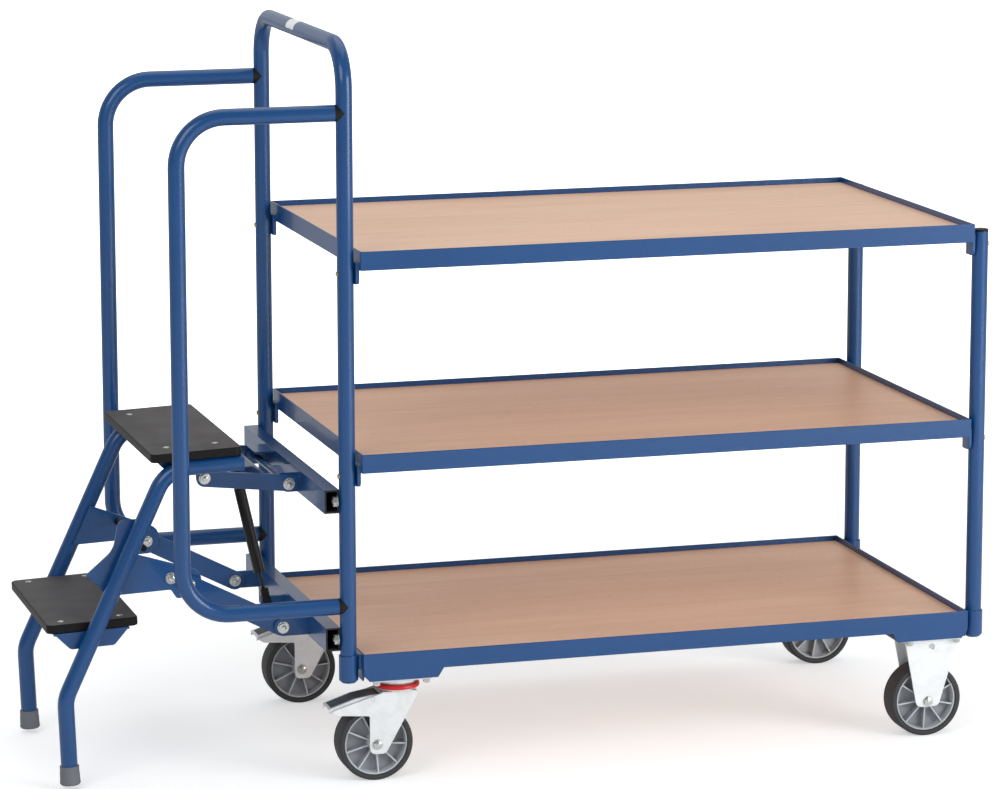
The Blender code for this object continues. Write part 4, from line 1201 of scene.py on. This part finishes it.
@dataclass
class Wheel:
    """A plastic rim with nine ribs and a solid grey tyre.

    The lip steps are (outwards of the lip, in from the wall), and the shoulder steps are (inwards of the
    tread, in from the wall).
    """

    lip: float = 0.0550
    lip_steps: Profile = (
        (0.0024, 0.0045),
        (0.0, 0.0040),
        (0.0, 0.0014),
        (0.0010, 0.0004),
        (0.0042, 0.0004),
        (0.0046, 0.0),
    )
    shoulder_steps: Profile = ((0.0030, 0.0), (0.0014, 0.0009), (0.0004, 0.0026), (0.0, 0.0052))
    tyre_gap: float = 0.0002
    rim_shoulder: float = 0.0520
    shoulder_drop: float = 0.0042
    outer_round: float = 0.0008
    hub: float = 0.0135
    hub_round: float = 0.0012
    bore: float = 0.0056
    small_round: float = 0.0006
    web: float = 0.0055
    web_slope: float = 0.0015
    ribs: int = 9
    rib_thickness: float = 0.0028
    rib_inset: float = 0.0022
    rib_root: float = 0.002
    rib_tip: float = 0.001
    edge: float = 0.0007
    sides: int = 72

    def build(self, label: str, turn: float) -> None:
        """Models and dresses one wheel, its ribs turned on by an angle."""
        self.tyre(label)
        self.rim(label, turn)

    def tyre(self, label: str) -> None:
        """Builds the tyre, with rounded shoulders and a raised band on each wall.

        Args:
            label: The wheel's name.
        """
        node = f"tyre_{label}"
        centre = PLACES.centre(node)
        half = PLACES.half_width(node)
        wall = [(self.lip + outwards, half - inset) for outwards, inset in self.lip_steps]
        wall += [(centre.z - inwards, half - inset) for inwards, inset in self.shoulder_steps]
        dress(turned(f"{node}_rubber", mirrored(wall), centre, Axis.Y, self.sides, closed=True), TYRE, node)

    def rim(self, label: str, turn: float) -> None:
        """Builds the rim: a hub, a recessed web painted a darker grey as shade, a shoulder ring and its ribs.

        Args:
            label: The wheel's name.
            turn: The angle of the first rib.
        """
        node = f"rim_{label}"
        centre = PLACES.centre(f"tyre_{label}")
        half = PLACES.half_width(node)
        shoulder = half - self.shoulder_drop
        outer = self.lip - self.tyre_gap
        side = [
            (self.bore, half - self.small_round),
            (self.bore + self.small_round, half),
            (self.hub - self.hub_round, half),
            (self.hub, half - self.hub_round),
            (self.hub + self.hub_round, self.web / 2),
            (self.rim_shoulder - self.web_slope, self.web / 2),
            (self.rim_shoulder, shoulder - self.small_round),
            (self.rim_shoulder + self.small_round, shoulder),
            (outer - self.small_round, shoulder),
            (outer, shoulder - self.outer_round),
        ]
        pieces = [turned(f"{node}_disc", mirrored(side), centre, Axis.Y, self.sides, closed=True)]
        start, stop = self.hub - self.rib_root, self.rim_shoulder + self.rib_tip
        size = (stop - start, 2 * (shoulder - self.rib_inset), self.rib_thickness)
        for index in range(self.ribs):
            angle = 2 * math.pi * index / self.ribs + turn
            arm = Matrix.Rotation(angle, 3, "Y") @ Vector(((start + stop) / 2, 0, 0))
            pieces.append(soften(slab("rib", centre + arm, size, angle), self.edge))
        rim = dress(joined(pieces), RIM, node)
        reach = self.web / 2 + self.edge

        def on_web(at: Vector, _: Vector) -> bool:
            """True on the recessed web between the hub and the shoulder."""
            return abs(at.y - centre.y) < reach and self.hub < (at - centre).length < self.rim_shoulder

        # Painted shade: the web's faces take the darker grey that stands for the shade between the ribs.
        paint_faces(rim, RIM_WEB_SHADE, on_web)


@dataclass
class Castors:
    """Two braked swivel castors and two fixed ones.

    The pad bends are (distance from the pedal's tip, drop from its top), from the tip upwards.
    """

    edge: float = 0.0009
    axle: Fastener = Fastener(
        shank=0.0048,
        washer=0.0088,
        washer_height=0.0010,
        hexagon=0.0078,
        tip=0.0040,
        tip_height=0.0010,
        head=0.005,
    )
    nut: Fastener = Fastener(
        washer=0.0068, washer_height=0.0010, hexagon=0.0060, tip=0.0034, tip_height=0.0014
    )
    plate_sheet: float = 0.004
    plate_half_length: float = 0.0525
    plate_half_width: float = 0.0425
    nut_inset: float = 0.0090
    nut_spread: float = 0.002
    nut_height: float = 0.0075
    nut_gap: float = 0.0001
    seal_inner: float = 0.0328
    seal_outer: float = 0.0392
    seal_rise: float = 0.0004
    seal_height: float = 0.0076
    seal_round: float = 0.0012
    seal_sides: int = 64
    pad_sheet: float = 0.0014
    pad_half: float = 0.0195
    pad_margin: float = 0.0045
    pad_bends: Profile = ((0.0, 0.0201), (0.046, 0.0049), (0.070, 0.0009))
    near_turns: tuple[float, float] = (math.radians(5), math.radians(13))
    far_turns: tuple[float, float] = (math.radians(35), math.radians(20))

    def build(self) -> None:
        """Models and dresses the castors."""
        wheel = Wheel()
        for side in Side:
            turns = self.near_turns if side is Side.NEAR else self.far_turns
            for kind, turn in zip(("swivel", "fixed"), turns):
                wheel.build(f"{kind}_{side.label}", turn)
            self.swivel(side.label)
            self.fixed(side.label)

    def swivel(self, label: str) -> None:
        """Builds the plate, seal, fork, axle and pedal of one swivel castor.

        Args:
            label: The castor's side of the trolley.
        """
        plate = f"castor_plate_{label}"
        recut(plate, "steel", self.edge, ZINC)
        recut(f"castor_fork_{label}", "steel", self.edge, ZINC)
        self.axle.fitted(f"castor_axle_{label}", "bolt")
        self.plate_nuts(plate, f"castor_nuts_{label}")
        self.seal(plate, label)
        self.pedal(label)

    def fixed(self, label: str) -> None:
        """Builds the fork and axle of one fixed castor.

        Args:
            label: The castor's side of the trolley.
        """
        fork = f"fixed_fork_{label}"
        recut(fork, "steel", self.edge, ZINC)
        self.axle.fitted(f"fixed_axle_{label}", "bolt")
        self.plate_nuts(fork, f"fixed_nuts_{label}")

    def plate_nuts(self, node: str, name: str) -> None:
        """Builds the four nuts below a castor's plate, the first modelled and the others copied.

        Args:
            node: The node that the plate is part of.
            name: The piece's name.
        """
        centre = PLACES.centre(node)
        half_length = self.plate_half_length - self.nut_inset
        half_width = self.plate_half_width - self.nut_inset + self.nut_spread
        seat = PLACES.high(node).z - self.plate_sheet - self.nut_gap
        first = Vector((centre.x - half_length, centre.y - half_width, seat))
        nut = joined(self.nut.end(name, first, Axis.Z, 0.0, -self.nut_height))
        nuts = [nut]
        for across, along in ((1, 0), (0, 1), (1, 1)):
            shift = Vector((2 * half_length * across, 2 * half_width * along, 0))
            nuts.append(copied(nut, name, shift))
        dress(joined(nuts), BOLT, body="trolley")

    def seal(self, plate: str, label: str) -> None:
        """Builds the red ring that keeps dirt out of the ball race.

        Args:
            plate: The castor plate's node.
            label: The castor's side of the trolley.
        """
        centre = PLACES.centre(plate)
        top = PLACES.low(plate).z + self.seal_rise
        bottom = top - self.seal_height
        edge = self.seal_round
        profile = [
            (self.seal_inner, top - edge),
            (self.seal_inner + edge, top),
            (self.seal_outer - 2 * edge, top),
            (self.seal_outer - edge / 2, top - edge),
            (self.seal_outer, top - 2 * edge),
            (self.seal_outer, bottom + edge),
            (self.seal_outer - edge, bottom),
            (self.seal_inner + edge, bottom),
            (self.seal_inner, bottom + edge),
        ]
        place = (centre.x, centre.y, 0)
        seal = turned(f"castor_seal_{label}", profile, place, Axis.Z, self.seal_sides, closed=True)
        dress(seal, SEAL, body="trolley")

    def pedal(self, label: str) -> None:
        """Builds the brake pedal, with a dark patterned pad on its plate.

        Args:
            label: The pedal's side of the trolley.
        """
        node = f"brake_pedal_{label}"
        recut(node, "plate", self.edge / 2, ZINC)
        low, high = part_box(node)
        y = PLACES.centre(node).y
        bends = [Vector((low.x + along, y, high.z - drop)) for along, drop in self.pad_bends]
        bends.append(Vector((high.x, y, high.z)))
        plates = []
        for start, stop in zip(bends, bends[1:]):
            along = stop - start
            inset = 0.0 if plates else self.pad_margin
            start = start + along.normalized() * inset
            size = ((stop - start).length, 2 * (self.pad_half - inset / 3), self.pad_sheet)
            plate = slab("plate", (start + stop) / 2, size, -math.atan2(along.z, along.x))
            plates.append(soften(plate, self.pad_sheet / 3))
        pad = joined(plates)
        pad.name = f"brake_pad_{label}"
        dress(pad, PAD, body=PLACES.body_of[node])


@dataclass
class Linkage:
    """The cross tubes, arms, pivots and gas spring that carry the ladder."""

    edge: float = 0.0008
    tube_wall: float = 0.003
    tube_width: float = 0.025
    tube_height: float = 0.040
    bore_margin: float = 0.0004
    end_bolt_y: float = 0.295
    end_bolt_height: float = 0.009
    end_bolt_gap: float = 0.0001
    pivot: Fastener = Fastener()

    def build(self) -> None:
        """Models and dresses the linkage."""
        for level in ("upper", "lower"):
            self.cross_tube(f"cross_tube_{level}")
        for node, width in (("upper_arm", 0.0), ("lower_arm_near", self.edge), ("lower_arm_far", self.edge)):
            recut(node, "steel", width, PAINT)
        for node in ("upper_arm_axle", "ladder_axle", "lower_arm_bolt_near", "lower_arm_bolt_far"):
            self.pivot_bolt(node)
        dress(refined("gas_spring_body", "gas_spring_cylinder", self.edge / 2), SPRING, "gas_spring_cylinder")
        dress(refined("gas_spring_piston", "gas_spring_rod", self.edge / 3), SPRING, "gas_spring_rod")

    def pivot_bolt(self, node: str) -> None:
        """Builds one pivot with bright ends and a painted middle.

        Args:
            node: The node that it stands for.
        """
        bolt = self.pivot.fitted(node, "zinc")
        middle = PLACES.centre(node).y
        shank = PLACES.half_width(node) - self.pivot.head * 2
        paint_faces(bolt, PAINT, lambda at, _: abs(at.y - middle) < shank)

    def cross_tube(self, node: str) -> None:
        """Builds one cross tube, its bore painted near-black as shade, and a bolt inside each end.

        Args:
            node: The cross tube's node.
        """
        low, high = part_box(node)
        x = high.x - self.tube_width / 2
        z = (low.z + high.z) / 2
        reach_x = self.tube_width / 2 - self.tube_wall + self.bore_margin
        reach_z = self.tube_height / 2 - self.tube_wall + self.bore_margin
        tube = recut(node, "steel", 0.0, PAINT)
        # Painted shade: the faces inside the bore take a near-black colour for the dark inside of the tube.
        paint_faces(tube, BORE_SHADE, lambda at, _: abs(at.x - x) < reach_x and abs(at.z - z) < reach_z)
        bolts = []
        for side in Side:
            seat = Vector((high.x - self.tube_wall, side.value * self.end_bolt_y, z))
            bolts += self.pivot.end(f"{node}_bolts", seat, Axis.X, -self.end_bolt_gap, -self.end_bolt_height)
        dress(joined(bolts), BOLT, body="trolley")


@dataclass
class Ladder:
    """The two-step ladder: bent sides, feet, gussets, carriers and film-covered steps.

    It is modelled upright and then tipped about its hinge. The foot's outline is (in from its radius, up
    from its bottom), from the top down.
    """

    tube: Tube = Tube(bend=0.060)
    tilt: float = math.radians(2.13)
    top_rise: float = 0.0343
    tube_lead: float = 0.055
    leg_reach: float = 0.2689
    knee_height: float = 0.165
    lean: float = math.radians(27.18)
    side_y: float = 0.191
    foot_lift: float = 0.0183
    foot_floor: float = 0.0063
    foot_height: float = 0.032
    foot_radius: float = 0.0175
    foot_gap: float = 0.0002
    foot_hole: float = 0.0010
    foot_sides: int = 40
    foot_outline: Profile = (
        (0.0018, 0.0320),
        (0.0012, 0.0312),
        (0.0012, 0.0220),
        (0.0008, 0.0210),
        (0.0004, 0.0060),
        (0.0, 0.0050),
        (0.0, 0.0022),
        (0.0016, 0.0),
    )
    step_depth: float = 0.156
    step_thickness: float = 0.015
    step_round: float = 0.012
    step_round_segments: int = 8
    step_edge: float = 0.0022
    step_edge_segments: int = 3
    step_inset: float = 0.0025
    step_run: float = 0.187
    step_rise: float = 0.280
    seat_gap: float = 0.0003
    upper_screw_inset: float = 0.036
    lower_screw_inset: float = 0.028
    screw_y: float = 0.154
    screw_sink: float = 0.0001
    bolt_back: float = 0.069
    bolt_drop: float = 0.1585
    gusset_sheet: float = 0.0056
    edge: float = 0.0008
    top_facing: float = 0.97
    edge_upright: float = 0.99
    pivot: Fastener = Fastener()
    screw: Screw = Screw(radius=0.0056, height=0.0012, sink=0.0010)

    @property
    def hinge(self) -> Vector:
        """The middle of the axle that the ladder hangs from."""
        middle = PLACES.centre("ladder_axle")
        return Vector((middle.x, 0.0, middle.z))

    @property
    def top(self) -> float:
        """The height of the side tubes' upper stretch, before the ladder is tipped."""
        return self.hinge.z + self.top_rise

    def build(self) -> None:
        """Models and dresses the ladder."""
        for side in Side:
            self.side_tube(side)
        half = self.side_y + self.tube.radius
        front = self.hinge.x + self.tube_lead - self.step_inset - self.step_depth
        bottom = self.top + self.tube.radius + self.seat_gap
        self.step("upper", front, bottom, half, self.upper_screw_inset)
        inside = self.side_y - self.tube.radius - self.seat_gap
        self.step("lower", front - self.step_run, bottom - self.step_rise, inside, self.lower_screw_inset)
        for node in ("upper_carrier", "lower_carrier"):
            recut(node, "sheet", self.edge, PAINT)

    def tip(self, piece: Piece) -> Piece:
        """Tips a piece with the ladder."""
        return tipped(piece, self.hinge, -self.tilt)

    def side_tube(self, side: Side) -> None:
        """Builds one bent side tube with its foot, gusset and bolts.

        Args:
            side: The tube's side of the trolley.
        """
        y = side.value * self.side_y
        leg = self.hinge.x - self.leg_reach
        knee_run = (self.top - self.knee_height) * math.tan(self.lean)
        route = [
            (leg, y, self.foot_lift + self.foot_floor),
            (leg, y, self.knee_height),
            (leg + knee_run, y, self.top),
            (self.hinge.x + self.tube_lead, y, self.top),
        ]
        node = f"ladder_side_{side.label}"
        dress(self.tip(self.tube.along(f"{node}_tube", route)), PAINT, node)
        self.foot(side.label, leg, y)
        self.gusset(side)
        self.pivot.fitted(f"ladder_bolt_{side.label}", "zinc")
        outside = PLACES.outside(f"gusset_{side.label}", side)
        seat = Vector((self.hinge.x - self.bolt_back, outside, self.hinge.z - self.bolt_drop))
        bolt = self.pivot.end(f"gusset_bolt_{side.label}", seat, Axis.Y, 0.0, side.value * self.pivot.head)
        dress(joined(bolt), BOLT, body="ladder")

    def gusset(self, side: Side) -> None:
        """Builds one gusset. The far one carries the black stop rod inside its plate.

        Args:
            side: The gusset's side of the trolley.
        """
        node = f"gusset_{side.label}"
        gusset = recut(node, "plate", self.edge, PAINT)
        if side is Side.FAR:
            plate_inside = PLACES.high(node).y - self.gusset_sheet
            paint_faces(gusset, STOP, lambda at, _: at.y < plate_inside)

    def foot(self, label: str, x: float, y: float) -> None:
        """Builds the ribbed rubber foot on a leg.

        Args:
            label: The foot's side of the trolley.
            x: The leg's place along X.
            y: Its place along Y.
        """
        node = f"ladder_foot_{label}"
        bore = self.tube.radius + self.foot_gap
        floor = self.foot_lift + self.foot_floor - self.seat_gap
        profile = [
            (bore, self.foot_lift + self.foot_height),
            *((self.foot_radius - inset, self.foot_lift + up) for inset, up in self.foot_outline),
            (self.foot_hole, self.foot_lift),
            (self.foot_hole, floor),
            (bore, floor),
        ]
        foot = turned(f"{node}_cup", profile, (x, y, 0), Axis.Z, self.foot_sides, closed=True)
        dress(self.tip(foot), FOOT, node)

    def step(self, level: str, front: float, bottom: float, half: float, inset: float) -> None:
        """Builds one step: a board with round corners, film on top and a sealed edge, and four screws.

        Args:
            level: upper or lower.
            front: Where the board starts along X.
            bottom: The height of its underside.
            half: Half its width.
            inset: How far the screws lie in from its front and back.
        """
        back = front + self.step_depth
        top = bottom + self.step_thickness
        size = (self.step_depth, 2 * half, self.step_thickness)
        middle = ((front + back) / 2, 0, bottom + self.step_thickness / 2)
        board = slab(f"{level}_tread_board", middle, size)
        rounding = (self.step_round, self.step_round_segments)
        round_edges(board, lambda _, along: abs(along.z) > self.edge_upright, *rounding)
        soften(board, self.step_edge, self.step_edge_segments)
        dress(self.tip(board), STEP_EDGE, f"{level}_tread")
        paint_faces(board, FILM, lambda _, normal: normal.z > self.top_facing)
        screws = []
        for x in (front + inset, back - inset):
            for y in (-self.screw_y, self.screw_y):
                seat = (x, y, top - self.screw_sink)
                screws.append(self.screw.head(f"{level}_tread_screws", seat, Axis.Z))
        dress(self.tip(joined(screws)), BOLT, body="ladder")


@dataclass(frozen=True)
class Lamp:
    """A square soft lamp that faces the trolley."""

    name: str
    place: Place
    size: float
    watts: float
    target: Place = (0.0, 0.0, 0.6)

    def build(self) -> None:
        """Hangs the lamp."""
        data = bpy.data.lights.new(self.name, "AREA")
        data.size = self.size
        data.energy = self.watts
        made = linked(bpy.data.objects.new(self.name, data))
        made.location = self.place
        ahead = Vector(self.target) - Vector(self.place)
        made.rotation_euler = ahead.to_track_quat("-Z", "Y").to_euler()


@dataclass
class Studio:
    """The pale floor, the soft lamps and the camera."""

    camera_place: Place = (-2.02762, -6.9759, 1.9546)
    heading: float = math.radians(-16.39)
    down: float = math.radians(10.58)
    roll: float = math.radians(-0.10)
    focal_mm: float = 151.98
    floor_size: float = 120.0
    floor_white: float = 0.97
    floor_roughness: float = 0.9
    floor_glow: float = 1.9
    floor_tint: Rgba = (0.97, 1.0, 1.02, 1.0)
    floor_share: float = 0.25
    fade_distance: float = 2.2
    fade_softness: float = 1.6
    ambient: float = 0.49
    reflected: float = 0.20
    backdrop: float = 0.52
    backdrop_edge: float = 0.35
    backdrop_softness: float = 0.45
    lamps: tuple[Lamp, ...] = (
        Lamp("key", (-3.2, -3.4, 3.6), 2.6, 92.0),
        Lamp("fill", (3.4, -3.8, 1.7), 2.6, 160.0),
        Lamp("top", (0.4, 0.6, 4.2), 3.2, 38.0),
    )

    def build(self) -> None:
        """Sets up the camera, floor, world and lamps."""
        bpy.context.scene.view_settings.view_transform = "Standard"
        self.camera()
        self.floor()
        self.world()
        for lamp in self.lamps:
            lamp.build()

    def camera(self) -> None:
        """Sets up the photograph's camera."""
        data = bpy.data.cameras.new("camera")
        data.lens = self.focal_mm
        made = linked(bpy.data.objects.new("camera", data))
        turn = Matrix.Rotation(self.heading, 4, "Z") @ Matrix.Rotation(math.pi / 2 - self.down, 4, "X")
        made.matrix_world = Matrix.Translation(self.camera_place) @ turn @ Matrix.Rotation(self.roll, 4, "Z")
        bpy.context.scene.camera = made

    def floor(self) -> None:
        """Lays a white floor that keeps a soft shadow and fades to plain white far away."""
        bpy.ops.mesh.primitive_plane_add(size=self.floor_size)
        piece = named("studio_floor")
        made, graph = new_material("studio_floor")
        white = self.floor_white
        graph.surface(Base_Color=(white, white, white, 1.0), Roughness=self.floor_roughness)
        away = graph.node("ShaderNodeVectorMath", {"operation": "LENGTH"}, {0: graph.place()}, output="Value")
        seen = graph.node("ShaderNodeLightPath", output="Is Camera Ray")
        faded = away.above(self.fade_distance, self.fade_softness)
        share = seen * (faded * (1 - self.floor_share) + self.floor_share)
        inputs = {"Color": self.floor_tint, "Strength": self.floor_glow}
        glow = graph.node("ShaderNodeEmission", inputs=inputs)
        shader = Wire(graph, graph.shader.outputs[0])
        mixed = graph.node("ShaderNodeMixShader", inputs={0: share, 1: shader, 2: glow})
        graph.feed(graph.tree.nodes["Material Output"].inputs["Surface"], mixed)
        piece.data.materials.append(made)

    def world(self) -> None:
        """Sets up a plain ambient light, with a brighter backdrop for reflections."""
        made = bpy.data.worlds.new("studio")
        bpy.context.scene.world = made
        made.use_nodes = True
        graph = Graph(made.node_tree)
        direction = graph.node("ShaderNodeTexCoord", output="Generated")
        depth = graph.node("ShaderNodeSeparateXYZ", inputs={0: direction}, output="Y")
        behind = depth.above(self.backdrop_edge, self.backdrop_softness)
        glossy = graph.node("ShaderNodeLightPath", output="Is Glossy Ray")
        camera = graph.node("ShaderNodeLightPath", output="Is Camera Ray")
        plain = (1 - glossy) * self.ambient + glossy * self.reflected
        strength = camera.maximum(plain + glossy * (behind * self.backdrop))
        background = graph.tree.nodes["Background"]
        graph.feed(background.inputs["Color"], WHITE)
        graph.feed(background.inputs["Strength"], strength)


def main() -> None:
    """Builds and dresses the trolley and its studio."""
    logging.basicConfig(level=logging.INFO, format="%(message)s")
    for part in (PushFrame(), Trays(), Handrails(), Castors(), Linkage(), Ladder(), Studio()):
        log.info("%s", type(part).__name__)
        part.build()


if __name__ == "__main__":
    main()
